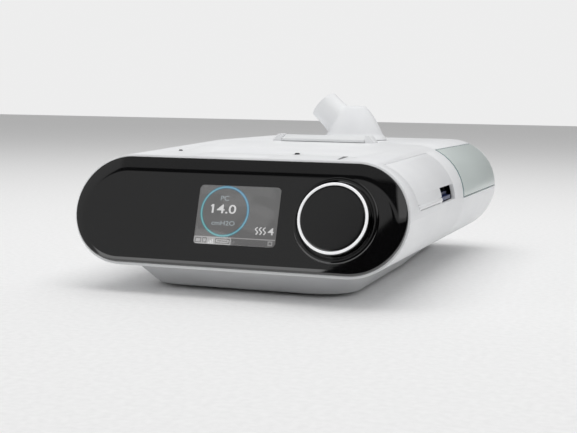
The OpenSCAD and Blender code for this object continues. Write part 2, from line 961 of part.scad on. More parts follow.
module status_light() {
    y = y_face + sensor_y;
    color("#5b6166")
    intersection() {
        unit_loft();
        translate([status_x, y, top_z(y) - wall - 0.6])
            cylinder(r = 1.2, h = wall + 4);
    }
}

// Right door with the card notch, and the tray behind it
module side_door() {
    color("#eceded")
    difference() {
        union() {
            door_leaf(notch_y0);
            door_barrel(notch_y0);
        }
        translate([0, notch_y0, notch_z0 - 10])
            cube([body_w, notch_l + cut, notch_h + 10]);
        along_hinge(barrel_y0 - cut, notch_y0, door_pin_r + pin_fit);
    }
}

module hinge_pin(y_end) {
    along_hinge(door_y0 + 0.2, y_end - move_gap - 0.2, door_pin_r);
}

module side_door_pin() {
    color("#b9bcc0")
    hinge_pin(notch_y0);
}

card_x1 = body_w / 2 - card_sunk;
socket_x1 = card_x1 - card_out;
socket_x0 = card_x1 - card_l - 2;
tray_x0 = socket_x0 - wall - 2.5;
tray_x1 = body_w / 2 - 2 * barrel_r - wall - 1;
tray_floor = door_hinge_z - barrel_r - 2.2;
tray_roof = tray_floor + 9;

module skin_leg(x, y, r, top_z) {
    low = skin_z(abs(x) + r, y - r) + 0.1;
    translate([x, y, low])
        cylinder(r = r, h = top_z - low);
}

module card_tray() {
    color("#2d3034")
    union() {
        difference() {
            translate([tray_x0, door_y0, tray_floor - wall])
                cube([tray_x1 - tray_x0, door_l, tray_roof - tray_floor + wall]);
            translate([tray_x0 + wall, door_y0 + wall, tray_floor])
                cube([body_w, door_l - 2 * wall, body_w]);
            for (y = [door_y0 + 20, door_y0 + 60])
                translate([tray_x0 - cut, y, tray_floor + 3])
                    cube([wall + 2 * cut, 10, 3]);
        }
        for (y = [door_y0 + 8, door_y1 - 12])
            skin_leg(tray_leg_x, y, 2.6, tray_floor - 0.5);
    }
}

card_y0 = notch_y0 + lug_l + 1;
card_z0 = tray_floor + 2.9;

module card_socket() {
    h = card_t + 2 * card_fit + 2.4;
    color("#16264a")
    difference() {
        translate([socket_x0, card_y0 - 1.6, tray_floor + 0.05])
            cube([socket_x1 - socket_x0, card_w + 3.2, card_z0 - tray_floor + h - 1.2]);
        translate([socket_x0 + 1.4, card_y0 - card_fit, card_z0 - card_fit])
            cube([body_w, card_w + 2 * card_fit, card_t + 2 * card_fit]);
    }
}

module memory_card() {
    color("#1d3f86")
    translate([card_x1, card_y0, card_z0])
        mirror([1, 0, 0])
            linear_extrude(card_t)
                polygon([
                    [0, 0],
                    [card_l - 4, 0],
                    [card_l, 4],
                    [card_l, card_w],
                    [0, card_w]
                ]);
}

// Left door with the air inlet, and the filters behind it
module inlet_slots() {
    for (i = [0 : 6])
        translate([-body_w, door_y0 + 22 + 8 * i, door_hinge_z + 5])
            rotate([90, 0, 0])
                translate([0, 0, -3.4])
                    linear_extrude(3.4)
                        square([body_w, 12]);
}

module filter_door() {
    color("#eceded")
    difference() {
        mirror([1, 0, 0])
            difference() {
                union() {
                    door_leaf(door_y1);
                    door_barrel(door_y1);
                }
                along_hinge(barrel_y0 - cut, door_y1, door_pin_r + pin_fit);
            }
        inlet_slots();
    }
}

module filter_door_pin() {
    color("#b9bcc0")
    mirror([1, 0, 0])
        hinge_pin(door_y1);
}

filter_x0 = -(tray_x1 - 9);
filter_y0 = door_y0 + 20;
filter_z0 = door_hinge_z - barrel_r;

module filter_frame() {
    depth = foam_t + fine_t + 2;
    arm_x = filter_x0 + depth / 2;
    leg_x = filter_x0 + depth + 1.7;
    color("#2d3034")
    difference() {
        union() {
            translate([filter_x0, filter_y0 - wall, filter_z0 - wall])
                cube([depth, filter_l + 2 * wall, filter_h + 2 * wall]);
            for (y = [filter_y0 + 6, filter_y0 + filter_l - 6]) {
                translate([arm_x, y - 3, filter_z0 - wall])
                    cube([leg_x - arm_x, 6, wall]);
                skin_leg(leg_x, y, 3, filter_z0);
            }
        }
        translate([filter_x0 - cut, filter_y0, filter_z0])
            cube([cut + foam_t + fine_t, filter_l, filter_h]);
        translate([filter_x0, filter_y0 + 5, filter_z0 + 4])
            cube([depth + cut, filter_l - 10, filter_h - 8]);
    }
}

module foam_filter() {
    color("#54585c")
    translate([filter_x0 + 0.05, filter_y0 + 0.2, filter_z0 + 0.05])
        cube([foam_t, filter_l - 0.4, filter_h - 0.3]);
}

module fine_filter() {
    color("#cfe3ee")
    translate([filter_x0 + foam_t + 0.1, filter_y0 + 0.2, filter_z0 + 0.05])
        cube([fine_t - 0.15, filter_l - 0.4, filter_h - 0.3]);
}

// Blower
// Spiral outline round the impeller, grown by add.
function spiral_points(add) = [
    for (i = [0 : 59])
        let (a = 180 + 6 * i, r = spiral_r + add + spiral_grow * (1 - i / 60))
            [-r * cos(a) * -1, r * sin(a)]
];

module spiral(add) {
    polygon(spiral_points(add));
}

chute_x = port_x - blower_x;
chute_half = port_r + 1;

// Straight outlet that leaves the spiral along the body.
module chute(add, back) {
    translate([chute_x - chute_half - add, -spiral_r * 0.2])
        square([2 * (chute_half + add), spiral_r * 0.2 + back]);
}

chute_back = grommet_x + 6;

module at_blower(z) {
    translate([blower_x, blower_cy, z])
        children();
}

module blower_lower() {
    color("#d9dbdd")
    at_blower(0)
        difference() {
            union() {
                translate([0, 0, plate_z])
                    linear_extrude(2.5)
                        round_rect(2 * grommet_x + 10, 2 * grommet_x + 10, 5);
                translate([0, 0, plate_z])
                    cylinder(r = stator_r + volute_wall + 0.3, h = channel_z - plate_z);
                translate([0, 0, channel_z - volute_wall])
                    linear_extrude(volute_wall + channel_h / 2)
                        union() {
                            spiral(volute_wall);
                            chute(volute_wall, chute_back);
                        }
                for (a = [45 : 90 : 315])
                    rotate([0, 0, a])
                        translate([grommet_x * 0.9, -1, plate_z])
                            cube([2, 2, channel_z - plate_z - 1]);
            }
            translate([0, 0, channel_z])
                linear_extrude(channel_h)
                    union() {
                        spiral(0);
                        chute(0, chute_back + cut);
                    }
            translate([0, 0, cup_z])
                cylinder(r = stator_r + 0.3, h = stator_h + 0.6);
            translate([0, 0, plate_z - cut])
                cylinder(r = 4.05, h = 60);
            for (sx = [-1, 1], sy = [-1, 1])
                translate([sx * grommet_x, sy * grommet_x, plate_z - cut])
                    cylinder(r = 2.1, h = 10);
        }
}

module blower_upper() {
    color("#d9dbdd")
    at_blower(port_z)
        difference() {
            union() {
                linear_extrude(channel_h / 2 + volute_wall)
                    union() {
                        spiral(volute_wall);
                        chute(volute_wall, chute_back);
                    }
                cylinder(r = impeller_r * 0.6 + volute_wall, h = channel_h / 2 + volute_wall + 4);
            }
            translate([0, 0, -cut])
                linear_extrude(channel_h / 2 + cut)
                    union() {
                        spiral(0);
                        chute(0, chute_back + cut);
                    }
            translate([0, 0, -cut])
                cylinder(r = impeller_r * 0.6, h = 40);
        }
}

impeller_z = channel_z + 2;

// Backward-curved vane as a thin arc between the hub and the rim.
module vane() {
    bow = impeller_r * 0.62;
    intersection() {
        translate([impeller_r * 0.5, -bow * 0.82])
            difference() {
                circle(bow + 0.45);
                circle(bow - 0.45);
            }
        difference() {
            translate([0, -impeller_r * 0.25])
                square([impeller_r + 2, impeller_r * 1.5]);
            circle(impeller_r * 0.3);
        }
        circle(impeller_r - 0.2);
    }
}

module impeller() {
    color("#8f9498")
    at_blower(impeller_z)
        difference() {
            union() {
                cylinder(r = impeller_r, h = 1.2);
                cylinder(r = impeller_r * 0.26, h = vane_h * 0.7);
                translate([0, 0, 0.9])
                    linear_extrude(vane_h)
                        for (i = [0 : vanes - 1])
                            rotate(i * 360 / vanes)
                                vane();
                translate([0, 0, vane_h + 0.8])
                    ring(impeller_r, impeller_r * 0.66, 1);
            }
            translate([0, 0, -cut])
                cylinder(r = rotor_shaft_r + 0.02, h = 40);
        }
}

module motor_shaft() {
    color("#c9ccd0")
    at_blower(0) {
        translate([0, 0, plate_z + 0.4])
            cylinder(r = rotor_shaft_r, h = impeller_z + vane_h * 0.7 + 0.5 - plate_z);
        translate([0, 0, cup_z + 1])
            cylinder(r = stator_r * 0.34, h = stator_h - 1.4);
    }
}

module stator() {
    color("#a5673a")
    at_blower(cup_z + 0.05)
        difference() {
            cylinder(r = stator_r, h = stator_h);
            translate([0, 0, -cut])
                cylinder(r = stator_r * 0.34 + 0.35, h = stator_h + 2 * cut);
            for (i = [0 : 8])
                rotate([0, 0, 40 * i])
                    translate([stator_r * 0.5, -1.2, -cut])
                        cube([stator_r * 0.3, 2.4, stator_h + 2 * cut]);
        }
}

module motor_bearings() {
    color("#b9bcc0")
    at_blower(0)
        for (z = [plate_z + 0.2, channel_z - volute_wall - 0.6])
            translate([0, 0, z])
                ring(4, rotor_shaft_r + pin_fit, 2.2);
}

module blower_grommets() {
    color("#2b2d30")
    at_blower(floor_z + 0.05)
        for (sx = [-1, 1], sy = [-1, 1])
            translate([sx * grommet_x, sy * grommet_x, 0]) {
                cylinder(r = 4.5, h = grommet_h - 0.1);
                cylinder(r = 2, h = grommet_h + 4);
            }
}

// Tube from the blower to the back of the unit
module air_tube() {
    y0 = blower_cy + chute_back;
    square_half = chute_half - 0.05;
    color("#9aa0a4")
    difference() {
        union() {
            port_hole(y0 + 3.05, port_r + port_wall, y_seam - y0 - 3.05);
            translate([port_x - chute_half - volute_wall, y0 + 0.05,
                       port_z - channel_h / 2 - volute_wall])
                cube([2 * (chute_half + volute_wall), 3, channel_h + 2 * volute_wall]);
        }
        port_hole(y0 - cut, port_r, y_seam - y0 + 2 * cut);
    }
}

module port_seal() {
    color("#3b3e42")
    translate([port_x, y_seam + seam_gap + 0.05, port_z])
        rotate([90, 0, 0])
            ring(port_r + port_wall + port_seal, port_r + port_wall + 0.03, seam_gap + 2);
}

module main_board() {
    x0 = main_board_x0;
    y0 = y_face + main_board_y;
    w = main_board_w;
    l = main_board_l;
    z = floor_z + 5;
    color("#1f5d3a")
    union() {
        translate([x0, y0, z])
            cube([w, l, board_t]);
        for (p = [[5, 5], [w - 5, 5], [5, l - 5], [w - 5, l - 5]])
            translate([x0 + p[0], y0 + p[1], floor_z + 0.05])
                cylinder(r = 2.6, h = z - floor_z);
        translate([x0 + 12, y0 + 12, z + board_t - 0.01])
            cube([16, 16, 2.2]);
        translate([x0 + 6, y0 + 64, z + board_t - 0.01])
            cube([24, 8, 9]);
        for (i = [0 : 1])
            translate([x0 + 14 + 14 * i, y0 + 46, z + board_t - 0.01])
                cylinder(r = 5, h = 12);
    }
}

// Fasteners and feet
module screw_set(spots, y0, tip_z) {
    for (p = spots)
        translate([p[0], y0 + p[1], pan_z + screw_head_h + 2]) {
            translate([0, 0, -screw_head_h])
                difference() {
                    cylinder(r = screw_head_r, h = screw_head_h);
                    translate([0, 0, -cut])
                        cylinder(r = 1.3, h = 1.2 + cut, $fn = 6);
                }
            cylinder(r = screw_r, h = tip_z - pan_z - screw_head_h - 2);
        }
}

module foot_set(spots, y0) {
    for (p = spots)
        translate([p[0], y0 + p[1], 0]) {
            cylinder(r1 = foot_r - 0.6, r2 = foot_r, h = 0.6);
            translate([0, 0, 0.6])
                cylinder(r = foot_r, h = pan_z + foot_seat - 0.65);
        }
}

module unit_screws() {
    color("#8e9296")
    screw_set(screw_spots, y_face, seam_low_z + wall + boss_h - 2.4);
}

module unit_feet() {
    color("#2b2d30")
    foot_set(foot_spots, y_face);
}

// Humidifier base
base_top = part_z - seam_gap / 2;
lid_low = part_z + seam_gap / 2;

module lid_knuckle(x, l) {
    translate([x - l / 2, lid_axis_y, part_z])
        rotate([0, 90, 0])
            cylinder(r = lid_barrel_r, h = l);
}

module lid_pin_hole(r) {
    translate([-knuckle_x - 1.6 * knuckle_l, lid_axis_y, part_z])
        rotate([0, 90, 0])
            cylinder(r = r, h = 2 * knuckle_x + 3.2 * knuckle_l);
}

module base_knuckle(x, l) {
    lid_knuckle(x, l);
    translate([x - l / 2, y_rear - wall * 0.8, part_z - lid_barrel_r])
        cube([l, wall * 0.8 + hinge_out, lid_barrel_r]);
}

outer_knuckle_x = knuckle_x + knuckle_l + 2 * move_gap;
mid_knuckle_l = 2 * knuckle_x - knuckle_l - 4 * move_gap;

module humidifier_base() {
    color("#eeeff0")
    difference() {
        union() {
            difference() {
                hum_loft(0, -seam_gap);
                hum_loft(wall, 2);
                above(base_top);
            }
            for (p = hum_screw_spots)
                translate([p[0], y_seam + p[1], seam_low_z + wall / 2])
                    cylinder(r = boss_r, h = wall / 2 + hum_boss_h);
            for (side = [-1, 1])
                base_knuckle(side * outer_knuckle_x, knuckle_l);
            base_knuckle(0, mid_knuckle_l);
        }
        lid_pin_hole(lid_pin_r + 0.02);
        for (side = [-1, 1])
            intersection() {
                lid_knuckle_clear(side * knuckle_x);
                behind(y_rear - wall - 3);
            }
        for (p = hum_screw_spots)
            translate([p[0], y_seam + p[1], 0])
                cylinder(r = screw_r + 0.02, h = 60);
        translate([inlet_x, y_rear + 5, inlet_z])
            rotate([90, 0, 0])
                cylinder(r = inlet_r + 3.05, h = 20);
    }
}

module lid_knuckle_clear(x) {
    translate([x - knuckle_l / 2 - move_gap, lid_axis_y, part_z])
        rotate([0, 90, 0])
            cylinder(r = lid_barrel_r + move_gap, h = knuckle_l + 2 * move_gap);
}

module humidifier_pan() {
    color("#c3c6c8")
    difference() {
        union() {
            difference() {
                pan_loft();
                hum_loft(-0.02, 6);
                difference() {
                    pan_loft(wall, pan_rim_z + 6);
                    before(y_seam + seam_gap + wall);
                }
                before(y_seam + seam_gap);
            }
            for (p = hum_screw_spots)
                pan_boss(p, y_seam, seam_low_z - 0.05);
        }
        pan_holes(hum_screw_spots, hum_foot_spots, y_seam);
    }
}

module hum_slice(inset, y0, l, z0) {
    difference() {
        slice(y0 + l, seam_z, body_w - 2 * inset, seam_r - inset, l);
        below(z0);
    }
}

module dock_wall() {
    color("#26282b")
    difference() {
        union() {
            slice(y_seam + seam_gap + 2.4, seam_z, body_w - 2 * wall - 0.8,
                  seam_r - wall - 0.4, 2.0);
            for (side = [-1, 1])
                translate([side * dock_tab_x - 4, y_seam - seam_gap - wall - 1.4, seam_z - 4.5]) {
                    cube([8, seam_gap + wall + 4, 3]);
                    cube([8, 1.2, 6]);
                }
            translate([21, y_seam - seam_gap - wall, port_z - 8])
                cube([24, seam_gap + wall + 2.4, 6]);
        }
        port_hole(y_seam - 5, port_r + port_wall + port_seal + 0.1, 5 + seam_gap + 0.3);
        port_hole(y_seam - 2, port_r + 0.05, 10);
    }
}

module heater_tray() {
    color("#3a3d40")
    translate([0, heater_cy, tray_z + 0.03])
        linear_extrude(tray_t - 0.05)
            round_rect(2 * (heater_w + tray_edge), 2 * (heater_w + tray_edge), 8);
}

module heater_plate() {
    color("#c4c7ca")
    translate([0, heater_cy, heater_z])
        linear_extrude(heater_t - 0.05)
            round_rect(2 * heater_w, 2 * heater_w, 6);
}

// Water tank
tank_in = wall + tank_gap;

module tank_block(inset) {
    intersection() {
        hum_loft(inset, 0);
        translate([-body_w, y_seam + tank_front + inset - tank_in, 0])
            cube([2 * body_w, hum_l - tank_front - tank_back - 2 * (inset - tank_in), 100]);
    }
}

module water_tank() {
    color("#c9d6d8", 0.5)
    difference() {
        tank_block(tank_in);
        difference() {
            tank_block(tank_in + tank_wall);
            below(tank_z + tank_wall);
        }
        above(tank_top);
        below(tank_z);
    }
}

inlet_duct_y = y_seam + tank_front;

module tank_lid() {
    color("#dfe4e6", 0.8)
    difference() {
        union() {
            difference() {
                tank_block(tank_in);
                above(tank_top + tank_seal_t + tank_lid_t);
                below(tank_top + tank_seal_t);
            }
            translate([elbow_x, elbow_cy, tank_top + tank_seal_t])
                cylinder(r = neck_r + 4, h = collar_top - tank_top - tank_seal_t);
        }
        translate([elbow_x, elbow_cy, 0])
            cylinder(r = tube_bore, h = 200);
    }
}

module tank_seal() {
    color("#5c6064")
    difference() {
        tank_block(tank_in + 0.1);
        tank_block(tank_in + tank_wall);
        above(tank_top + tank_seal_t - 0.02);
        below(tank_top + 0.02);
    }
}

// Humidifier lid
module window_profile(gap, low) {
    polygon([
        [cap_x, low],
        [cap_x, seam_z],
        [cap_x + 60 * cos(window_angle + gap), seam_z + 60 * sin(window_angle + gap)],
        [body_w / 2 + 20, seam_z + 50],
        [body_w / 2 + 20, low]
    ]);
}

module window_region(gap, angle_gap, low) {
    y1 = y_rear - window_back + gap;
    y0 = y_seam + window_gap - gap * 30;
    translate([0, y1, 0])
        rotate([90, 0, 0])
            linear_extrude(y1 - y0)
                window_profile(angle_gap, low);
}

latch_pin_z = lid_top_z + move_gap + latch_t / 2;

// Sloping end piece beside the latch, drawn on the side given.
module latch_post(side) {
    translate([latch_x + side * (latch_w / 2 + move_gap), y_seam + latch_back, lid_top_z])
        rotate([90, 0, 0])
            linear_extrude(latch_back - seam_gap - 0.6)
                polygon([
                    [0, -1],
                    [side * 6.2, -1],
                    [side * 6.2, 0.3],
                    [side * 2.4, latch_t + move_gap],
                    [0, latch_t + move_gap]
                ]);
}

latch_back = latch_pin_y + latch_t / 2;
latch_x0 = latch_x - latch_w / 2;

module humidifier_lid() {
    color("#eeeff0")
    difference() {
        union() {
            difference() {
                hum_loft(0, -seam_gap);
                hum_loft(wall, 2);
                below(lid_low);
                window_region(0.1, 0.15, 0);
                mirror([1, 0, 0])
                    window_region(0.1, 0.15, 0);
            }
            translate([elbow_x, elbow_cy, neck_low_z + 0.4])
                cylinder(r = neck_r + 4, h = neck_l - wall + 0.6);
            latch_post(-1);
            latch_post(1);
            for (side = [-1, 1]) {
                lid_knuckle(side * knuckle_x, knuckle_l);
                translate([side * knuckle_x - knuckle_l / 2, y_rear - wall * 0.8, part_z])
                    cube([knuckle_l, wall * 0.8 + hinge_out, lid_barrel_r]);
            }
        }
        translate([elbow_x, elbow_cy, 0])
            cylinder(r = neck_r + pin_fit, h = 200);
        lid_pin_hole(lid_pin_r + pin_fit);
        translate([latch_x0 - 2.2 - move_gap, y_seam + latch_pin_y, latch_pin_z])
            rotate([0, 90, 0])
                cylinder(r = latch_pin_r + 0.02, h = latch_w + 4.4 + 2 * move_gap);
        for (x = [-outer_knuckle_x, outer_knuckle_x])
            base_knuckle_clear(x, knuckle_l);
        base_knuckle_clear(0, mid_knuckle_l);
    }
}

module base_knuckle_clear(x, l) {
    translate([x - l / 2 - move_gap, lid_axis_y, part_z])
        rotate([0, 90, 0])
            cylinder(r = lid_barrel_r + move_gap, h = l + 2 * move_gap);
}

module side_window() {
    difference() {
        intersection() {
            hum_loft(0, 0);
            window_region(0, 0, lid_low);
        }
        hum_loft(wall, 2);
    }
}

module window_right() {
    color("#a9bcb8", 0.5)
    side_window();
}

module window_left() {
    color("#a9bcb8", 0.5)
    mirror([1, 0, 0])
        side_window();
}

module lid_pin() {
    color("#b9bcc0")
    lid_pin_hole(lid_pin_r);
}

// Latch lip on the lid
module lid_latch() {
    color("#9ea2a5")
    difference() {
        union() {
            translate([latch_x0, y_seam + latch_pin_y, latch_pin_z])
                rotate([0, 90, 0])
                    cylinder(r = latch_t / 2, h = latch_w);
            translate([latch_x0, y_seam + latch_pin_y, latch_pin_z])
                rotate([90, 0, 90])
                    linear_extrude(latch_w)
                        polygon([
                            [0, -latch_t / 2],
                            [0, latch_t / 2],
                            [-latch_pin_y + 3, latch_t / 2],
                            [seam_gap - latch_pin_y + 0.4, latch_t / 2 - 1.2],
                            [seam_gap - latch_pin_y, -latch_t / 2 + 1],
                            [seam_gap - latch_pin_y + 2.5, -latch_t / 2]
                        ]);
        }
        translate([latch_x0 - cut, y_seam + latch_pin_y, latch_pin_z])
            rotate([0, 90, 0])
                cylinder(r = latch_pin_r + pin_fit, h = latch_w + 2 * cut);
    }
}

module latch_pin() {
    color("#b9bcc0")
    translate([latch_x0 - 2 - move_gap, y_seam + latch_pin_y, latch_pin_z])
        rotate([0, 90, 0])
            cylinder(r = latch_pin_r, h = latch_w + 4 + 2 * move_gap);
}

module outlet_seal() {
    color("#5c6064")
    translate([elbow_x, elbow_cy, collar_top + 0.05])
        ring(neck_r + 3.9, neck_r + 1.6 + move_gap, neck_low_z + 0.35 - collar_top);
}

// Swivel elbow
module along_tube(start = 0) {
    translate([0, 0, dome_z])
        rotate([0, -90 + tube_angle, 0])
            translate([0, 0, start])
                children();
}

// Outline of the dome: an arc up the flank and a flat arc over the crown.
dome_chord = [dome_neck_r - dome_foot_r, dome_neck_z];
dome_half = norm(dome_chord) / 2;
dome_back = sqrt(dome_r * dome_r - dome_half * dome_half) / (2 * dome_half);
dome_mid = [(dome_neck_r + dome_foot_r) / 2 - dome_chord[1] * dome_back,
            dome_neck_z / 2 + dome_chord[0] * dome_back];
crown_r = (dome_neck_r * dome_neck_r + dome_crown * dome_crown) / (2 * dome_crown);

module elbow_dome(inset) {
    rotate_extrude()
        intersection() {
            translate(dome_mid)
                circle(dome_r - inset, $fn = 240);
            translate([0, dome_neck_z + dome_crown - crown_r])
                circle(crown_r - inset, $fn = 160);
            square([2 * dome_foot_r, 2 * dome_neck_z]);
        }
}

// Small flare where the dome meets the lid.
module elbow_flare() {
    rotate_extrude()
        polygon([
            [0, 0],
            [elbow_foot_r, 0],
            [elbow_foot_r, 0.7],
            [elbow_foot_r - 1.6, 1.5],
            [elbow_foot_r - 3, 3],
            [0, 3]
        ]);
}

module elbow() {
    color("#f0f1f2")
    translate([elbow_x, elbow_cy, lid_top_z + move_gap])
        difference() {
            union() {
                elbow_dome(0);
                elbow_flare();
                intersection() {
                    union() {
                        along_tube()
                            cylinder(r = tube_r, h = tube_l);
                        along_tube()
                            cylinder(r = tube_r + 0.4, h = tube_l - hose_end_l);
                    }
                    translate([-body_w / 2, -body_w / 2, 0])
                        cube(body_w);
                }
                translate([0, 0, 0.1 - neck_l - move_gap])
                    cylinder(r = neck_r, h = neck_l + move_gap + 0.4);
            }
            translate([0, 0, -30])
                cylinder(r = tube_bore, h = 32);
            intersection() {
                elbow_dome(4);
                cylinder(r = tube_bore + 2.4, h = 60);
            }
            along_tube()
                cylinder(r = tube_bore, h = tube_l + cut);
        }
}

module elbow_clip() {
    color("#5c6064")
    translate([elbow_x, elbow_cy, neck_low_z + 0.1 - clip_t])
        ring(neck_r + 1.6, tube_bore + 0.5, clip_t - 0.02);
}

module humidifier_board() {
    y1 = heater_cy - heater_w - tray_edge - 3;
    color("#1f5d3a")
    translate([-hum_board_w / 2, y1 - hum_board_d, hum_floor_z + 0.05])
        cube([hum_board_w, hum_board_d, board_t]);
}

module power_inlet() {
    color("#1b1c1f")
    translate([inlet_x, y_rear - 0.6, inlet_z])
        rotate([90, 0, 0])
            difference() {
                union() {
                    cylinder(r = inlet_r + 3, h = wall);
                    cylinder(r = inlet_r + 1.6, h = inlet_d + 1.5 - 0.6);
                }
                translate([0, 0, -cut])
                    cylinder(r = inlet_r, h = inlet_d + cut);
            }
}

module humidifier_screws() {
    color("#8e9296")
    screw_set(hum_screw_spots, y_seam, hum_floor_z + hum_boss_h - 0.2);
}

module humidifier_feet() {
    color("#2b2d30")
    foot_set(hum_foot_spots, y_seam);
}

main_housing();
bottom_pan();
dock_plate();
front_panel();
display_lens();
display_module();
display_board();
dial_collar();
encoder();
encoder_shaft();
dial_knob();
dial_ring();
therapy_button();
ramp_button();
key_board();
light_sensor_window();
status_light();
side_door();
side_door_pin();
card_tray();
card_socket();
memory_card();
filter_door();
filter_door_pin();
filter_frame();
foam_filter();
fine_filter();
blower_lower();
blower_upper();
impeller();
motor_shaft();
stator();
motor_bearings();
blower_grommets();
air_tube();
port_seal();
main_board();
unit_screws();
unit_feet();
humidifier_base();
humidifier_pan();
dock_wall();
heater_tray();
heater_plate();
water_tank();
tank_lid();
tank_seal();
humidifier_lid();
window_right();
window_left();
lid_pin();
lid_latch();
latch_pin();
outlet_seal();
elbow();
elbow_clip();
humidifier_board();
power_inlet();
humidifier_screws();
humidifier_feet();
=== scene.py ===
# %% [markdown]
# # A bedside breathing machine with its humidifier
#
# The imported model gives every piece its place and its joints. This lesson dresses
# it: the large shells get soft edges, the face, the dial and the display are made
# by hand, and every piece gets the finish of its real material.

# %% Load the frame
import bpy
import json
import math
from mathutils import Matrix, Vector


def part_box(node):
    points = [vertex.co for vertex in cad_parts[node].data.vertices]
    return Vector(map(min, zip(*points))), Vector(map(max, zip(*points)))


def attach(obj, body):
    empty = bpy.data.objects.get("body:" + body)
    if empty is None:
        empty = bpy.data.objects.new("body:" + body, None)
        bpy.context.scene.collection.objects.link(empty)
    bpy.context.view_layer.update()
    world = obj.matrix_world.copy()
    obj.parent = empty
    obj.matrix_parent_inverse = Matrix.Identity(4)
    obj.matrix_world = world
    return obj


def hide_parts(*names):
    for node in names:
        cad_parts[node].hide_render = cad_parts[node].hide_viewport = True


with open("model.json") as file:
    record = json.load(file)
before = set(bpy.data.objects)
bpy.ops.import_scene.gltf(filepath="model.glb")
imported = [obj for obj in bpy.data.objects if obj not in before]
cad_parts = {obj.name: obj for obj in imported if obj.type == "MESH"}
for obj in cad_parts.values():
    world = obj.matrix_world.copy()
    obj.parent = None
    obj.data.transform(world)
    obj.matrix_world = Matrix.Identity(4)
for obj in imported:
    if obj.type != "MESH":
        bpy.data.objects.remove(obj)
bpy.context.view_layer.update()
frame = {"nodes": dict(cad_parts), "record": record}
MM = 0.001

# %% [markdown]
# ## The camera
#
# The photograph was taken from about 60 cm in front of the machine, a little above
# it and to its right. The values come from matching the outline of the body, so the
# sight line is written down as three turns: around, up and a slight roll.

# %% Set the camera
FACE_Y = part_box("main_housing")[0].y
YAW, PITCH, ROLL = math.radians(19.29), math.radians(-5.92), math.radians(0.76)
EYE = Vector((0.2355, FACE_Y - 0.5765, 0.1093))
PIXELS_WIDE, FOCAL_PIXELS, SENSOR_MM = 577, 1179.13, 36.0


def camera_turn(yaw, pitch, roll):
    ahead = Vector((-math.sin(yaw) * math.cos(pitch), math.cos(yaw) * math.cos(pitch),
                    math.sin(pitch)))
    right = Vector((math.cos(yaw), math.sin(yaw), 0.0))
    up = right.cross(ahead)
    tilted_right = right * math.cos(roll) + up * math.sin(roll)
    tilted_up = up * math.cos(roll) - right * math.sin(roll)
    return Matrix((tilted_right, tilted_up, -ahead)).transposed()


bpy.ops.object.camera_add(location=EYE)
camera = bpy.context.object
camera.name = "studio_camera"
camera.rotation_euler = camera_turn(YAW, PITCH, ROLL).to_euler()
camera.data.sensor_width = SENSOR_MM
camera.data.lens = SENSOR_MM * FOCAL_PIXELS / PIXELS_WIDE
camera.data.clip_start = 0.01
bpy.context.scene.camera = camera
print("camera lens:", round(camera.data.lens, 1), "mm")

# %% [markdown]
# ## Small tools for finishes
#
# A finish is a little tree of shader nodes. Each node could be placed and wired line
# by line, but that hides what matters, so one function adds a node with its settings,
# its values and its links. Colours are written as the hex values a designer would
# name, and one function turns them to the linear values that light works with. Every
# pattern reads the place on the piece itself, so it stays put when the piece moves.

# %% Colour and node helpers
def colour(hex_value):
    """An sRGB hex colour as linear values."""
    channels = []
    for i in (1, 3, 5):
        c = int(hex_value[i:i + 2], 16) / 255
        channels.append(c / 12.92 if c <= 0.04045 else ((c + 0.055) / 1.055) ** 2.4)
    return (*channels, 1.0)


def add(tree, kind, values=None, links=None, stops=(), **settings):
    """A node with its settings, the values and links of its inputs, and its colour stops."""
    node = tree.nodes.new(kind)
    for name, value in settings.items():
        setattr(node, name, value)
    for name, value in (values or {}).items():
        node.inputs[name].default_value = value
    for name, source in (links or {}).items():
        tree.links.new(source, node.inputs[name])
    for i, (position, shade) in enumerate(stops):
        ramp = node.color_ramp.elements
        stop = ramp[i] if i < 2 else ramp.new(position)
        stop.position, stop.color = position, shade
    return node


def new_finish(name):
    """An empty material, its node tree, and the place on the piece."""
    finish = bpy.data.materials.new(name)
    finish.use_nodes = True
    tree = finish.node_tree
    tree.nodes.clear()
    place = add(tree, "ShaderNodeTexCoord").outputs["Object"]
    return finish, tree, place


print("mid grey #808080 gives back", round(colour("#808080")[0], 3), "of the light")

# %% [markdown]
# ## Moulded plastic
#
# Nearly every piece is injection moulded. The tool is spark eroded, which leaves a
# fine grain on the part. The real one is about a tenth of a millimetre, and here it
# is drawn as half a millimetre so that it shows. As the resin flows and cools, its
# colour and gloss also wander a little from place to place, over a few centimetres.
# Each plastic could be a tree of its own, but the process is the same for all, so
# one recipe serves them and only the numbers change.

# %% Moulded plastic recipe
FLOW_MM = 35.7


def moulded(name, light, dark, roughness, grain_mm=0.5, grain_depth=0.04,
            coat=0.0, ior=1.52, glow=0.0):
    finish, tree, place = new_finish(name)
    cloud = add(tree, "ShaderNodeTexNoise", {"Scale": 1 / (FLOW_MM * MM), "Detail": 3.0},
                {"Vector": place}).outputs["Fac"]
    grain = add(tree, "ShaderNodeTexNoise", {"Scale": 1 / (grain_mm * MM), "Detail": 2.0},
                {"Vector": place}).outputs["Fac"]
    bump = add(tree, "ShaderNodeBump", {"Strength": 0.35, "Distance": grain_depth * MM},
               {"Height": grain}).outputs["Normal"]
    tone = add(tree, "ShaderNodeValToRGB", links={"Fac": cloud},
               stops=[(0.3, colour(dark)), (0.7, colour(light))]).outputs["Color"]
    gloss = add(tree, "ShaderNodeMapRange", {"To Min": roughness * 1.1, "To Max": roughness * 0.9},
                {"Value": cloud}).outputs["Result"]
    # A glow above zero is painted light, used only for the dial's ring.
    shader = add(tree, "ShaderNodeBsdfPrincipled",
                 {"IOR": ior, "Coat Weight": coat, "Coat Roughness": 0.03,
                  "Emission Color": colour(light), "Emission Strength": glow},
                 {"Base Color": tone, "Roughness": gloss, "Normal": bump})
    add(tree, "ShaderNodeOutputMaterial", links={"Surface": shader.outputs["BSDF"]})
    return finish


print("resin wanders over", FLOW_MM, "mm")

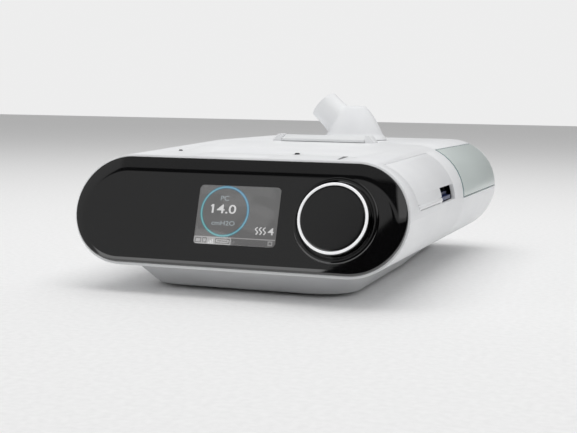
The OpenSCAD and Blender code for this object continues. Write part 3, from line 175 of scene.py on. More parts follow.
# %% [markdown]
# ## The plastics of this machine
#
# ABS is the usual resin for such a case: tough, easy to mould, with an index of
# refraction near 1.5. Polycarbonate takes a harder polish and a hard coat, so it
# serves for the face. The index values of the two black ones are a little high,
# because the coat of the real ones adds a second mirror over the first.

# %% The plastics
# White ABS, satin: the shells, doors, keys and elbow look evenly soft, with a broad
# pale sheen and no sharp mirror image.
white_abs = moulded("white_satin_abs", "#F1F2F3", "#EBECEE", 0.42)
# Light grey ABS of the bottom pans: their grey is partly their own light grey and
# partly painted shade for the underside, which falls in shadow. A coarser grain
# makes it look a little duller.
pan_grey_with_painted_shade = moulded("light_grey_abs_and_painted_shade", "#D2D3D4", "#CBCCCE", 0.46, grain_mm=0.7)
# Pale grey ABS of the latch: a little darker than the lid.
latch_abs = moulded("pale_grey_abs", "#E6E7E8", "#DFE1E2", 0.42)
# Mid grey of the ramp mark, quite matt on the satin key: partly the key's printed
# ramp, partly painted shade for the gap at the key's right end.
ramp_print_and_painted_shade = moulded("mid_grey_ink_and_painted_shade", "#7E7F81", "#77787A", 0.6)
# Black polycarbonate of the face: polished and hard coated, so it has next to no
# grain, and nearly all that the eye gets from it is what it mirrors.
face_polycarbonate = moulded("hard_coated_black_polycarbonate", "#0A0A0B", "#070708", 0.03,
                             grain_mm=0.4, grain_depth=0.0004, coat=1.0, ior=1.7)
# The dial's cap has the same resin with a fine satin, so its mirror image is softer.
dial_abs = moulded("satin_black_polycarbonate", "#0C0C0D", "#09090A", 0.16, grain_mm=0.3,
                   grain_depth=0.002, coat=0.8, ior=1.75)
# Glass-filled nylon of the trays and frames inside: dull, with a rough, fibrous grain.
black_nylon = moulded("black_glass_filled_nylon", "#1B1C1E", "#121315", 0.55,
                      grain_mm=0.8, grain_depth=0.06)
# Pale grey polypropylene of the blower and the air tube: slightly waxy.
grey_polypropylene = moulded("pale_grey_polypropylene", "#B9BDC0", "#ADB1B5", 0.4)
# Dark blue ABS of the memory card and its socket: the one deep colour of the outside.
blue_abs = moulded("dark_blue_abs", "#1C3068", "#162653", 0.35, grain_mm=0.3)
# White acrylic of the ring, with a painted glow: it stands partly for lamps under the
# ring and partly lifts it to an even white from all sides, with hardly any shade.
ring_acrylic_with_painted_glow = moulded("white_acrylic_with_painted_glow", "#F6F6F7", "#EEEFF1", 0.22, grain_mm=0.3,
                       grain_depth=0.004, glow=0.22)
# Silver paint on ABS, the frame round the display: a flat grey without a metal's depth.
lcd_frame = moulded("silver_painted_abs", "#8B8F93", "#7F8387", 0.35)
print("plastics:", len(bpy.data.materials))

# %% [markdown]
# ## Clear plastics, rubber, metal and foam
#
# The tank is clear polycarbonate and lets all light through, while the windows are
# frosted and let only a little pass. Rubber is dull and slightly dusty. Turned and
# drawn metal carries fine marks about a millimetre apart, which break up its shine.
# Foam is open-celled, and a cell pattern with a deep bump gives its pores. A circuit
# board's glass weave, about 0.6 mm from thread to thread, shows through its mask.

# %% Recipes for clear plastic, rubber, metal, foam and board
HAZE_MM, DUST_MM, MARK_MM, WEAVE_MM = 16.7, 4.17, 1.11, 0.628
# The wave pattern repeats every 2 pi / 20 of its scale.
WAVE_PERIOD = 2 * math.pi / 20


def clear(name, tint, roughness, ior=1.58, transmission=1.0):
    finish, tree, place = new_finish(name)
    haze = add(tree, "ShaderNodeTexNoise", {"Scale": 1 / (HAZE_MM * MM), "Detail": 2.0},
               {"Vector": place}).outputs["Fac"]
    gloss = add(tree, "ShaderNodeMapRange",
                {"To Min": roughness - 0.03, "To Max": roughness + 0.05},
                {"Value": haze}).outputs["Result"]
    shader = add(tree, "ShaderNodeBsdfPrincipled",
                 {"Base Color": colour(tint), "IOR": ior, "Transmission Weight": transmission},
                 {"Roughness": gloss})
    add(tree, "ShaderNodeOutputMaterial", links={"Surface": shader.outputs["BSDF"]})
    return finish


def rubber(name, hex_value, dust_hex="#3A3B3D"):
    finish, tree, place = new_finish(name)
    dust = add(tree, "ShaderNodeTexNoise", {"Scale": 1 / (DUST_MM * MM), "Detail": 4.0},
               {"Vector": place}).outputs["Fac"]
    bump = add(tree, "ShaderNodeBump", {"Strength": 0.4, "Distance": 0.05 * MM},
               {"Height": dust}).outputs["Normal"]
    tone = add(tree, "ShaderNodeValToRGB", links={"Fac": dust},
               stops=[(0.35, colour(hex_value)), (0.9, colour(dust_hex))]).outputs["Color"]
    gloss = add(tree, "ShaderNodeMapRange", {"To Min": 0.7, "To Max": 0.88},
                {"Value": dust}).outputs["Result"]
    shader = add(tree, "ShaderNodeBsdfPrincipled", {"IOR": 1.52},
                 {"Base Color": tone, "Roughness": gloss, "Normal": bump})
    add(tree, "ShaderNodeOutputMaterial", links={"Surface": shader.outputs["BSDF"]})
    return finish


def metal(name, hex_value, roughness):
    finish, tree, place = new_finish(name)
    marks = add(tree, "ShaderNodeTexNoise", {"Scale": 1 / (MARK_MM * MM), "Detail": 2.0},
                {"Vector": place}).outputs["Fac"]
    bump = add(tree, "ShaderNodeBump", {"Strength": 0.25, "Distance": 0.02 * MM},
               {"Height": marks}).outputs["Normal"]
    gloss = add(tree, "ShaderNodeMapRange",
                {"To Min": roughness - 0.06, "To Max": roughness + 0.08},
                {"Value": marks}).outputs["Result"]
    shader = add(tree, "ShaderNodeBsdfPrincipled",
                 {"Base Color": colour(hex_value), "Metallic": 1.0},
                 {"Roughness": gloss, "Normal": bump})
    add(tree, "ShaderNodeOutputMaterial", links={"Surface": shader.outputs["BSDF"]})
    return finish


def foam(name, hex_value, cell_mm, pore_hex="#0E0E0F"):
    finish, tree, place = new_finish(name)
    cells = add(tree, "ShaderNodeTexVoronoi", {"Scale": 1 / (cell_mm * MM)},
                {"Vector": place}).outputs["Distance"]
    bump = add(tree, "ShaderNodeBump", {"Strength": 0.9, "Distance": 0.5 * cell_mm * MM},
               {"Height": cells}).outputs["Normal"]
    tone = add(tree, "ShaderNodeValToRGB", links={"Fac": cells},
               stops=[(0.05, colour(pore_hex)), (0.5, colour(hex_value))]).outputs["Color"]
    shader = add(tree, "ShaderNodeBsdfPrincipled", {"Roughness": 0.95},
                 {"Base Color": tone, "Normal": bump})
    add(tree, "ShaderNodeOutputMaterial", links={"Surface": shader.outputs["BSDF"]})
    return finish


def board(name, thread_hex="#0F4A2C", mask_hex="#16603A"):
    finish, tree, place = new_finish(name)
    weave = add(tree, "ShaderNodeTexWave",
                {"Scale": WAVE_PERIOD / (WEAVE_MM * MM), "Distortion": 2.0},
                {"Vector": place}).outputs["Fac"]
    tone = add(tree, "ShaderNodeValToRGB", links={"Fac": weave},
               stops=[(0.3, colour(thread_hex)), (0.7, colour(mask_hex))]).outputs["Color"]
    shader = add(tree, "ShaderNodeBsdfPrincipled", {"Roughness": 0.4}, {"Base Color": tone})
    add(tree, "ShaderNodeOutputMaterial", links={"Surface": shader.outputs["BSDF"]})
    return finish


print("recipes: clear, rubber, metal, foam, board")

# %% [markdown]
# ## The other materials of this machine
#
# Each starts from the usual values of its material: polycarbonate has an index of
# 1.58 and acrylic 1.49, rubber is rough, and a metal gets its colour from its own
# mirror image, so its index is left as it is.

# %% Clear plastics, rubber, metal, foam and board
# Clear polycarbonate of the tank: one sees through it to what it holds, as through
# slightly cold glass.
tank_clear = clear("clear_polycarbonate", "#E3ECEE", 0.12)
# Frosted polycarbonate of the side windows: a milky grey-green, with no view inside.
window_clear = clear("frosted_grey_green_polycarbonate", "#D9E1DF", 0.3, transmission=0.12)
# At a cut edge one looks along the sheet, so the tint gathers to a dark teal line.
window_edge = clear("teal_edge_of_polycarbonate", "#6F8C8E", 0.25, transmission=0.1)
# Smoked acrylic over the display: polished, and it dims the picture a little.
lens_clear = clear("lightly_smoked_acrylic", "#DADADA", 0.04, ior=1.49)
# Dark smoked acrylic of the two small lights: near black dots when they are off.
lamp_clear = clear("dark_smoked_acrylic", "#3A3F46", 0.08, ior=1.49)
# Black rubber of feet and grommets: matt, with a grey bloom of dust.
foot_rubber = rubber("black_rubber", "#1C1C1E")
# Grey silicone of the seals: softer in tone and without any shine.
seal_silicone = rubber("grey_silicone", "#6E7276")
# Stainless steel of pins, shafts and screws: bright, broken up by fine turning marks.
steel = metal("turned_stainless_steel", "#C9CBCE", 0.28)
# Aluminium of the heater plate: paler than steel and with a wider, softer shine.
aluminium = metal("brushed_aluminium", "#D3D5D8", 0.36)
# Copper wire of the motor under its enamel: a warm orange-brown shine.
copper = metal("enamelled_copper_wire", "#B86E3C", 0.34)
# Grey foam of the coarse filter: dark open pores, about a millimetre wide.
filter_foam = foam("grey_open_cell_foam", "#5A5E62", 1.2)
# White felt of the fine filter: a soft, matted surface.
filter_felt = foam("white_filter_felt", "#DDE6EC", 0.5)
# Fibreglass with a green solder mask: a weave that just shows through.
circuit_board = board("green_fibreglass_board")
print("materials:", len(bpy.data.materials))

# %% [markdown]
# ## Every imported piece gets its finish
#
# The model's pieces come with a plain colour each. The table names the real
# material of every one, also of those inside, because the doors and the lid open.

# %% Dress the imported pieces
FINISHES = {
    white_abs: ["main_housing", "humidifier_base", "humidifier_lid", "side_door", "filter_door",
                "therapy_button", "ramp_button", "elbow"],
    pan_grey_with_painted_shade: ["bottom_pan", "humidifier_pan"],
    latch_abs: ["lid_latch"],
    face_polycarbonate: ["front_panel"],
    dial_abs: ["dial_knob", "dial_collar"],
    ring_acrylic_with_painted_glow: ["dial_ring"],
    lens_clear: ["display_lens"],
    lamp_clear: ["light_sensor_window", "status_light"],
    lcd_frame: ["display_module"],
    circuit_board: ["display_board", "key_board", "main_board", "humidifier_board"],
    black_nylon: ["dock_plate", "dock_wall", "card_tray", "filter_frame", "heater_tray",
                  "encoder", "power_inlet"],
    grey_polypropylene: ["blower_lower", "blower_upper", "impeller", "air_tube"],
    steel: ["encoder_shaft", "motor_shaft", "motor_bearings", "side_door_pin",
            "filter_door_pin", "lid_pin", "latch_pin", "unit_screws", "humidifier_screws"],
    blue_abs: ["card_socket", "memory_card"],
    filter_foam: ["foam_filter"],
    filter_felt: ["fine_filter"],
    copper: ["stator"],
    foot_rubber: ["blower_grommets", "port_seal", "unit_feet", "humidifier_feet"],
    seal_silicone: ["tank_seal", "outlet_seal", "elbow_clip"],
    aluminium: ["heater_plate"],
    tank_clear: ["water_tank", "tank_lid"],
    window_clear: ["window_right", "window_left"],
}
FINISH = {node: finish for finish, nodes in FINISHES.items() for node in nodes}


def wear(piece, finish):
    piece.data.materials.clear()
    piece.data.materials.append(finish)


for node in frame["nodes"]:
    wear(frame["nodes"][node], FINISH[node])
print("dressed:", len(FINISH))

# %% [markdown]
# ## Small tools for shapes
#
# Everything new is modelled as by hand: a primitive is added, shaped in edit mode
# and finished with modifiers. An operator acts on all that is selected, so these
# helpers first pick one piece, then choose its points or faces by their place, and
# at the end keep the result on the body, and in the place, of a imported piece.

# %% Pick, choose and keep
BODIES = frame["record"]["behaviour"]["bodies"]
BODY = {node: body for body, nodes in BODIES.items() for node in nodes}


def deselect():
    if bpy.context.object and bpy.context.object.mode != "OBJECT":
        bpy.ops.object.mode_set(mode="OBJECT")
    bpy.ops.object.select_all(action="DESELECT")


def pick(piece):
    deselect()
    piece.select_set(True)
    bpy.context.view_layer.objects.active = piece


def edit(piece):
    """Open a piece in edit mode with all of its points selected."""
    pick(piece)
    bpy.ops.object.mode_set(mode="EDIT")
    bpy.ops.mesh.select_mode(type="VERT")
    bpy.ops.mesh.select_all(action="SELECT")


def choose(piece, test, kind="VERT"):
    """Select the points, or with kind="FACE" the faces, that pass a test."""
    bpy.ops.mesh.select_mode(type=kind)
    bpy.ops.mesh.select_all(action="DESELECT")
    bpy.ops.object.mode_set(mode="OBJECT")
    for item in piece.data.vertices if kind == "VERT" else piece.data.polygons:
        item.select = test(item)
    bpy.ops.object.mode_set(mode="EDIT")
    bpy.ops.mesh.select_mode(type=kind)


def extrude(x=0.0, y=0.0, z=0.0):
    """Pull what is selected out by a distance in millimetres."""
    move = {"value": (x * MM, y * MM, z * MM)}
    bpy.ops.mesh.extrude_region_move(TRANSFORM_OT_translate=move)


def finish_shape(piece, angle=30):
    """Apply modifiers and place, turn all faces outwards, and smooth what is round."""
    pick(piece)
    for modifier in list(piece.modifiers):
        bpy.ops.object.modifier_apply(modifier=modifier.name)
    bpy.ops.object.transform_apply(location=True, rotation=True, scale=True)
    bpy.ops.object.mode_set(mode="EDIT")
    bpy.ops.mesh.select_all(action="SELECT")
    bpy.ops.mesh.normals_make_consistent(inside=False)
    bpy.ops.object.mode_set(mode="OBJECT")
    bpy.ops.object.shade_smooth_by_angle(angle=math.radians(angle))


def keep(piece, name, finish, node, replaces=True):
    piece.name = piece.data.name = name
    wear(piece, finish)
    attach(piece, BODY[node])
    if replaces:
        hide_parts(node)
    return piece


# %% [markdown]
# ## Cutting and rounding
#
# Holes are cut with a second shape, which is removed after the cut. Edges are
# rounded with a bevel on every edge that turns by more than a given angle.

# %% Cut and round
def cut_away(piece, cutter, how="DIFFERENCE"):
    cut = piece.modifiers.new("cut", "BOOLEAN")
    cut.operation, cut.object, cut.solver = how, cutter, "EXACT"
    pick(piece)
    bpy.ops.object.modifier_apply(modifier=cut.name)
    bpy.data.objects.remove(cutter)


def round_edges(piece, radius_mm, segments=2, angle=30, material=-1):
    bevel = piece.modifiers.new("edge_radius", "BEVEL")
    bevel.width, bevel.segments, bevel.material = radius_mm * MM, segments, material
    bevel.limit_method, bevel.angle_limit = "ANGLE", math.radians(angle)


print("cutting tools ready")

# %% [markdown]
# ## Turned pieces and pieces on the face
#
# A dial, a collar or a dome could be spun from a profile. Here each is drawn ring by
# ring: the rim of a circle is extruded and scaled to the next radius, as a potter
# pulls a wall, which never leaves a seam or a pole to close. The face leans back, so
# what lies on it is modelled flat and then laid on the face in one move.

# %% Rings and the lean of the face
LEAN = math.radians(18.0)
FACE_RADIUS, FACE_HEIGHT = 31.4, 44.8
WELD_MM, CORNER_STEPS = 0.005, 8
FACE_PLACE = (Matrix.Translation((0, FACE_Y + FACE_RADIUS * MM * math.sin(LEAN), FACE_HEIGHT * MM))
              @ Matrix.Rotation(math.radians(90) - LEAN, 4, "X"))


def turned(rings, middle=(0.0, 0.0), points=96, closed=False):
    """A piece turned round Z through rings of (radius, height), in millimetres."""
    deselect()
    radius, height = rings[0]
    x, y = middle
    bpy.ops.mesh.primitive_circle_add(vertices=points, radius=radius * MM,
                                      location=(x * MM, y * MM, height * MM),
                                      fill_type="NOTHING" if closed else "NGON")
    piece = bpy.context.object
    bpy.ops.object.transform_apply(location=True)
    edit(piece)
    for next_radius, next_height in rings[1:]:
        extrude(z=next_height - height)
        grow = next_radius / radius
        bpy.ops.transform.resize(value=(grow, grow, 1),
                                 center_override=(x * MM, y * MM, next_height * MM))
        radius, height = next_radius, next_height
    if closed:
        bpy.ops.mesh.select_all(action="SELECT")
        bpy.ops.mesh.remove_doubles(threshold=WELD_MM * MM)
    bpy.ops.object.mode_set(mode="OBJECT")
    return piece


def slab(width, height, corner, low, high, middle=(0.0, 0.0)):
    """A plate with round corners, flat in XY, in millimetres."""
    deselect()
    x, y = middle
    centre = (x * MM, y * MM, low * MM)
    bpy.ops.mesh.primitive_plane_add(size=MM, location=centre)
    piece = bpy.context.object
    bpy.ops.object.transform_apply(location=True)
    edit(piece)
    bpy.ops.transform.resize(value=(width, height, 1), center_override=centre)
    if corner:
        bpy.ops.mesh.bevel(offset=corner * MM, segments=CORNER_STEPS, affect="VERTICES")
        bpy.ops.mesh.select_all(action="SELECT")
    extrude(z=high - low)
    bpy.ops.object.mode_set(mode="OBJECT")
    return piece


def lay_on_face(piece):
    piece.matrix_world = FACE_PLACE @ piece.matrix_world
    return piece


print("the face leans back", round(math.degrees(LEAN)), "degrees")

# %% [markdown]
# ## Soft edges for the moulded shells
#
# No moulded edge is sharp: the tool leaves at least a few tenths of a millimetre of
# radius, and that thin line of light is what makes a shell look real. The packed
# mesh is left alone. A copy of it is welded, its flat areas are joined, and a bevel
# rounds the edges that turn by more than 30 degrees. The windows get a second
# finish on that rounding, for the dark line of their cut edges.

# %% Soften a packed shell
EDGE_RADIUS_MM = {
    "main_housing": 0.2, "humidifier_base": 0.4, "humidifier_lid": 0.5, "bottom_pan": 0.6,
    "humidifier_pan": 0.6, "side_door": 0.15, "filter_door": 0.15, "therapy_button": 0.15,
    "ramp_button": 0.15, "card_tray": 0.15, "window_right": 0.6, "window_left": 0.6,
}
EDGE_FINISH = {"window_right": window_edge, "window_left": window_edge}
SHARP = 30
FLAT = math.radians(0.3)


def soften(node, radius_mm):
    piece = bpy.data.objects.new(node + "_soft", frame["nodes"][node].data.copy())
    bpy.context.scene.collection.objects.link(piece)
    edit(piece)
    bpy.ops.mesh.remove_doubles(threshold=0.002 * MM)
    bpy.ops.mesh.dissolve_limited(angle_limit=FLAT)
    bpy.ops.object.mode_set(mode="OBJECT")
    wear(piece, FINISH[node])
    if node in EDGE_FINISH:
        piece.data.materials.append(EDGE_FINISH[node])
    round_edges(piece, radius_mm, 2, SHARP, 1 if node in EDGE_FINISH else -1)
    pick(piece)
    for modifier in list(piece.modifiers):
        bpy.ops.object.modifier_apply(modifier=modifier.name)
    bpy.ops.object.shade_smooth_by_angle(angle=math.radians(SHARP + 5))
    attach(piece, BODY[node])
    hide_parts(node)
    return piece


shells = [soften(node, radius_mm) for node, radius_mm in EDGE_RADIUS_MM.items()]
print("softened:", [(shell.name, len(shell.data.polygons)) for shell in shells])

# %% [markdown]
# ## The black face
#
# The face is one polished moulding. Its flat middle ends in a soft turn and a
# sloping band, 9 mm wide at the top, 7 at the ends but only 3 at the bottom. It
# could be lofted between outlines, but the same shape comes from a circle that is
# raised ring by ring through those heights, after which its two halves are pulled
# apart into the long outline. A tilt of each ring makes the bottom steeper.

# %% Raise the rings of the face
BODY_WIDTH, RIM, PANEL_TOP = 193.0, 1.3, 3.2
PANEL_RADIUS = FACE_RADIUS - RIM
PANEL_STRETCH = BODY_WIDTH / 2 - RIM - PANEL_RADIUS
PANEL_POINTS = 126
# Inset and height at the top edge, inset and height at the bottom edge, inset at the ends.
FACE_RINGS = [
    (0.0, 0.0, 0.0, 0.0, 0.0), (0.0, 0.7, 0.0, 2.55, 0.0), (0.2, 1.0, 0.2, 2.82, 0.2),
    (0.6, 1.15, 0.6, 2.94, 0.6), (6.3, 2.78, 2.1, 3.13, 4.2), (7.0, 2.96, 2.4, 3.165, 4.9),
    (7.8, 3.1, 2.7, 3.19, 5.6), (8.6, 3.17, 2.95, 3.2, 6.3), (9.3, 3.2, 3.2, 3.2, 7.0),
    (9.5, 3.2, 3.4, 3.2, 7.2),
]


def face_plate():
    deselect()
    bpy.ops.mesh.primitive_circle_add(vertices=PANEL_POINTS, radius=PANEL_RADIUS * MM,
                                      fill_type="NGON")
    plate = bpy.context.object
    edit(plate)
    # Half a step round, so that no point lies on the line where the halves part.
    bpy.ops.transform.rotate(value=math.pi / PANEL_POINTS, orient_axis="Z",
                             center_override=(0, 0, 0))
    half_x = half_y = PANEL_RADIUS
    middle = level = lift = 0.0
    for top_in, top_high, low_in, low_high, end_in in FACE_RINGS[1:]:
        new_middle, new_level = (low_in - top_in) / 2, (low_high + top_high) / 2
        new_y, new_x = PANEL_RADIUS - (low_in + top_in) / 2, PANEL_RADIUS - end_in
        new_lift = math.atan((top_high - low_high) / 2 / new_y)
        extrude(y=new_middle - middle, z=new_level - level)
        centre = (0, new_middle * MM, new_level * MM)
        bpy.ops.transform.resize(value=(new_x / half_x, new_y / half_y, 1),
                                 center_override=centre)
        bpy.ops.transform.rotate(value=-(new_lift - lift), orient_axis="X",
                                 center_override=centre)
        half_x, half_y, middle, level, lift = new_x, new_y, new_middle, new_level, new_lift
    for side in (1, -1):
        choose(plate, lambda v: v.co.x * side > 0)
        bpy.ops.transform.translate(value=(side * PANEL_STRETCH * MM, 0, 0))
    return plate


face_panel = face_plate()
face_top = max(v.co.z for v in face_panel.data.vertices)
print("face plate height:", round(face_top / MM, 2), "mm")

# %% [markdown]
# ## The back of the face
#
# From behind, the plate is hollow and has a skirt that locates it in the housing.
# Two insets and two extrusions of the rear face make both. The window and the
# dial's hole are cut last, with cutters that also leave the stepped seat of the
# window and of the dial's collar.

# %% Skirt, window and dial hole
LENS_MIDDLE, LENS_SIZE = (2.4, -1.5), (47.0, 32.5)
LENS_GAP, LENS_LEDGE, LENS_SEAT = 0.1, 1.2, 1.7
DIAL_MIDDLE, DIAL_HOLE = (57.5, -1.6), 9.0
COLLAR_RADIUS, COLLAR_GAP, COLLAR_SEAT = 23.2, 0.05, 2.2
SKIRT_INSET, SKIRT_DEPTH, SKIRT_WALL, HOLLOW = 2.375, 3.0, 1.5, 4.2
BELOW, ABOVE = -1.0, 8.0

choose(face_panel, lambda f: f.normal.z < -0.99, "FACE")
bpy.ops.mesh.inset(thickness=SKIRT_INSET * MM, depth=0)
extrude(z=-SKIRT_DEPTH)
bpy.ops.mesh.inset(thickness=SKIRT_WALL * MM, depth=0)
extrude(z=HOLLOW)
bpy.ops.object.mode_set(mode="OBJECT")
wide, tall = LENS_SIZE
cut_away(face_panel, slab(wide + 2 * LENS_GAP, tall + 2 * LENS_GAP, 2.5, LENS_SEAT, ABOVE,
                          LENS_MIDDLE))
cut_away(face_panel, slab(wide - 2 * LENS_LEDGE, tall - 2 * LENS_LEDGE, 1.2, BELOW, ABOVE,
                          LENS_MIDDLE))
cut_away(face_panel, turned([(DIAL_HOLE, BELOW), (DIAL_HOLE, ABOVE)], DIAL_MIDDLE))
collar_seat = COLLAR_RADIUS + COLLAR_GAP
cut_away(face_panel, turned([(collar_seat, COLLAR_SEAT), (collar_seat, ABOVE)], DIAL_MIDDLE))
finish_shape(lay_on_face(face_panel), 40)
keep(face_panel, "face_panel", face_polycarbonate, "front_panel")
print("face panel faces:", len(face_panel.data.polygons))

# %% [markdown]
# ## The light of the display
#
# A liquid crystal display lies under a clear acrylic window that sits flush in the
# face. Its pixels, about a tenth of a millimetre, are far too small for this camera,
# so each lit area could be one flat colour. But a real backlight is never quite
# even, so each colour here runs slowly from one shade to another across the screen,
# and the pressure ring runs from teal to blue.

# %% Lit finishes
UP, RIGHT, UPWARDS_RIGHT = (0, 0, 1), (1, 0, 0), (0.71, 0, 0.71)


def lit(name, low, high, direction, start, reach):
    """Liquid crystal that glows, from one colour to another along a direction."""
    finish, tree, place = new_finish(name)
    along = add(tree, "ShaderNodeVectorMath", {1: direction}, {0: place},
                operation="DOT_PRODUCT").outputs["Value"]
    level = add(tree, "ShaderNodeMapRange",
                {"From Min": start * MM, "From Max": (start + reach) * MM},
                {"Value": along}).outputs["Result"]
    shade = add(tree, "ShaderNodeValToRGB", links={"Fac": level},
                stops=[(0.0, colour(low)), (1.0, colour(high))]).outputs["Color"]
    shader = add(tree, "ShaderNodeBsdfPrincipled",
                 {"Roughness": 0.5, "Emission Strength": 1.0, "Base Color": colour("#101112")},
                 {"Emission Color": shade})
    add(tree, "ShaderNodeOutputMaterial", links={"Surface": shader.outputs["BSDF"]})
    return finish


# Closed liquid crystal still lets some backlight through: a grey, not a black, screen.
lit_grey = lit("lit_liquid_crystal_grey", "#7B7A7A", "#7E7E7E", UP, 28, 32)
# The status line and strip are lit half, the digits and waves fully.
lit_strip = lit("lit_liquid_crystal_line", "#AEADAD", "#B6B5B5", RIGHT, -20, 40)
lit_light = lit("lit_liquid_crystal_strip", "#C4C3C3", "#CDCDCD", RIGHT, -20, 40)
lit_white = lit("lit_liquid_crystal_white", "#F4F4F4", "#FFFFFF", UP, 30, 30)
# Small letters look paler and bluer than large ones, because their strokes are thin.
lit_soft = lit("lit_liquid_crystal_soft_grey", "#B4BEC2", "#BAC4C8", UP, 30, 30)
# The ring glows from teal to blue, with a dim halo of the same colours round it.
lit_ring = lit("lit_liquid_crystal_ring", "#86CFC8", "#86BBDE", UPWARDS_RIGHT, 8, 38)
lit_halo = lit("lit_liquid_crystal_halo", "#62898A", "#6488A2", UPWARDS_RIGHT, 8, 38)
print("materials:", len(bpy.data.materials))

# %% [markdown]
# ## The window and the pressure ring
#
# The backlit panel, its drawings and the window lie over each other like pages, with
# a few hundredths of a millimetre between them, so that no two surfaces share one
# place. Each is drawn flat and laid on the leaning face. The ring is turned with a
# rectangular section, and it gets a wider, dimmer one under it, because a bright
# line on a display always has a faint glow round it.

# %% Backlight, window and pressure ring
PANEL_LOW, PANEL_HIGH = 1.72, 2.58
GLOW_LOW, GLOW_HIGH = 2.59, 2.6
SCREEN_LOW, SCREEN_HIGH = 2.61, 2.64
WINDOW_LOW = 2.7
RING_MIDDLE = (-5.2, 0.6)


def lay_on_screen(piece, name, finish):
    finish_shape(lay_on_face(piece))
    return keep(piece, name, finish, "display_module", replaces=False)


def flat_ring(inner, outer, low, high):
    section = [(inner, low), (outer, low), (outer, high), (inner, high), (inner, low)]
    return turned(section, RING_MIDDLE, 128, True)


lay_on_screen(slab(wide - 2 * LENS_GAP, tall - 2 * LENS_GAP, 2.3, PANEL_LOW, PANEL_HIGH,
                   LENS_MIDDLE), "display_backlight", lit_grey)
window = slab(wide, tall, 2.4, WINDOW_LOW, PANEL_TOP, LENS_MIDDLE)
round_edges(window, 0.15)
finish_shape(lay_on_face(window))
keep(window, "display_window", lens_clear, "display_lens")
lay_on_screen(flat_ring(12.6, 14.2, GLOW_LOW, GLOW_HIGH), "pressure_ring_halo", lit_halo)
lay_on_screen(flat_ring(13.0, 13.8, SCREEN_LOW, SCREEN_HIGH), "pressure_ring", lit_ring)
print("display window:", wide, "by", tall, "mm")

# %% [markdown]
# ## Words and numbers
#
# The display gives the pressure and its unit, the mode and the humidity level.
# Letters could be drawn by hand, but text in Blender's own font is quicker and just
# as plain. It starts as text and becomes mesh, is stretched to the size that the
# photograph shows, and only then is it laid on the screen. The digit 1 has a longer
# flag on this display than in that font, so a short bar is added to it.

# %% Words and numbers on the display
def screen_words(name, words, middle, size, finish, weight):
    deselect()
    bpy.ops.object.text_add()
    text = bpy.context.object
    text.data.body = words
    text.data.offset = weight * MM
    text.data.size = 10 * MM
    bpy.ops.object.convert(target="MESH")
    text = bpy.context.object
    edit(text)
    bpy.ops.mesh.remove_doubles(threshold=0.001 * MM)
    extrude(z=SCREEN_HIGH - SCREEN_LOW)
    bpy.ops.object.mode_set(mode="OBJECT")
    low = Vector([min(v.co[i] for v in text.data.vertices) for i in range(3)])
    high = Vector([max(v.co[i] for v in text.data.vertices) for i in range(3)])
    grow_x, grow_y = size[0] * MM / (high.x - low.x), size[1] * MM / (high.y - low.y)
    text.scale = (grow_x, grow_y, 1)
    text.location = (middle[0] * MM - grow_x * (low.x + high.x) / 2,
                     middle[1] * MM - grow_y * (low.y + high.y) / 2, SCREEN_LOW * MM)
    bpy.ops.object.transform_apply(location=True, scale=True)
    return lay_on_screen(text, name, finish)


screen_words("pressure_digits", "14.0", (-5.7, 1.9), (14.0, 4.9), lit_white, 0.1)
flag = slab(1.5, 0.75, 0, SCREEN_LOW, SCREEN_HIGH)
flag.matrix_world = (Matrix.Translation((-12.75 * MM, 3.65 * MM, 0))
                     @ Matrix.Rotation(math.radians(38), 4, "Z"))
pick(flag)
bpy.ops.object.transform_apply(location=True, rotation=True)
lay_on_screen(flag, "pressure_digit_flag", lit_white)
screen_words("mode_letters", "PC", (-5.9, 7.8), (4.8, 2.7), lit_soft, 0.08)
screen_words("pressure_unit", "cmH2O", (-5.3, -5.8), (13.4, 2.5), lit_soft, 0.12)
screen_words("humidity_digit", "4", (22.4, -9.1), (3.3, 3.8), lit_white, 0.1)
print("words and numbers laid on the display")

# %% [markdown]
# ## The waves
#
# Three rising waves stand before the humidity level. One is modelled, as a small
# plane whose upper edge is extruded in short steps, to one side and back. An array
# would make one piece of the three, so it is copied instead, and each copy gets its
# own mesh before all are laid on the face.

# %% Model a wave and copy it
WAVE_FOOT, WAVE_STEP, WAVE_FIRST, WAVE_APART = -11.0, 0.42, 14.3, 2.2
WAVE_SWAY = (0.35, 0.3, 0.0, -0.45, -0.55, -0.3, 0.2, 0.5, 0.35)
wave_middle = (WAVE_FIRST * MM, WAVE_FOOT * MM, SCREEN_LOW * MM)
deselect()
bpy.ops.mesh.primitive_plane_add(size=MM, location=wave_middle)
wave = bpy.context.object
bpy.ops.object.transform_apply(location=True)
edit(wave)
bpy.ops.transform.resize(value=(0.75, 0.3, 1), center_override=wave_middle)
choose(wave, lambda v: v.co.y > WAVE_FOOT * MM)
for sway in WAVE_SWAY:
    extrude(x=sway, y=WAVE_STEP)
bpy.ops.mesh.select_all(action="SELECT")
extrude(z=SCREEN_HIGH - SCREEN_LOW)
bpy.ops.object.mode_set(mode="OBJECT")
waves = [wave]
for count in (1, 2):
    twin = wave.copy()
    twin.data = wave.data.copy()
    bpy.context.scene.collection.objects.link(twin)
    twin.matrix_world = Matrix.Translation((count * WAVE_APART * MM, 0, 0))
    waves.append(twin)
for count, piece in enumerate(waves):
    lay_on_screen(piece, "humidity_wave_%d" % (count + 1), lit_white)
print("waves:", [len(piece.data.polygons) for piece in waves])

# %% [markdown]
# ## The status strip
#
# The line, the strip and the bars are plain slabs. The icons are frames: a slab with
# a smaller slab cut out of it. They stand for the card, the filter, the mask and the
# clock without being anybody's own symbols.

# %% Line, bars and frames
STRIP_MIDDLE = -15.6


def bar_mark(width, height, u, v):
    return slab(width, height, 0, SCREEN_LOW, SCREEN_HIGH, (u, v))


def frame_mark(width, height, line, u, v):
    outline = bar_mark(width, height, u, v)
    cut_away(outline, slab(width - 2 * line, height - 2 * line, 0, SCREEN_LOW - 1,
                           SCREEN_HIGH + 1, (u, v)))
    return outline


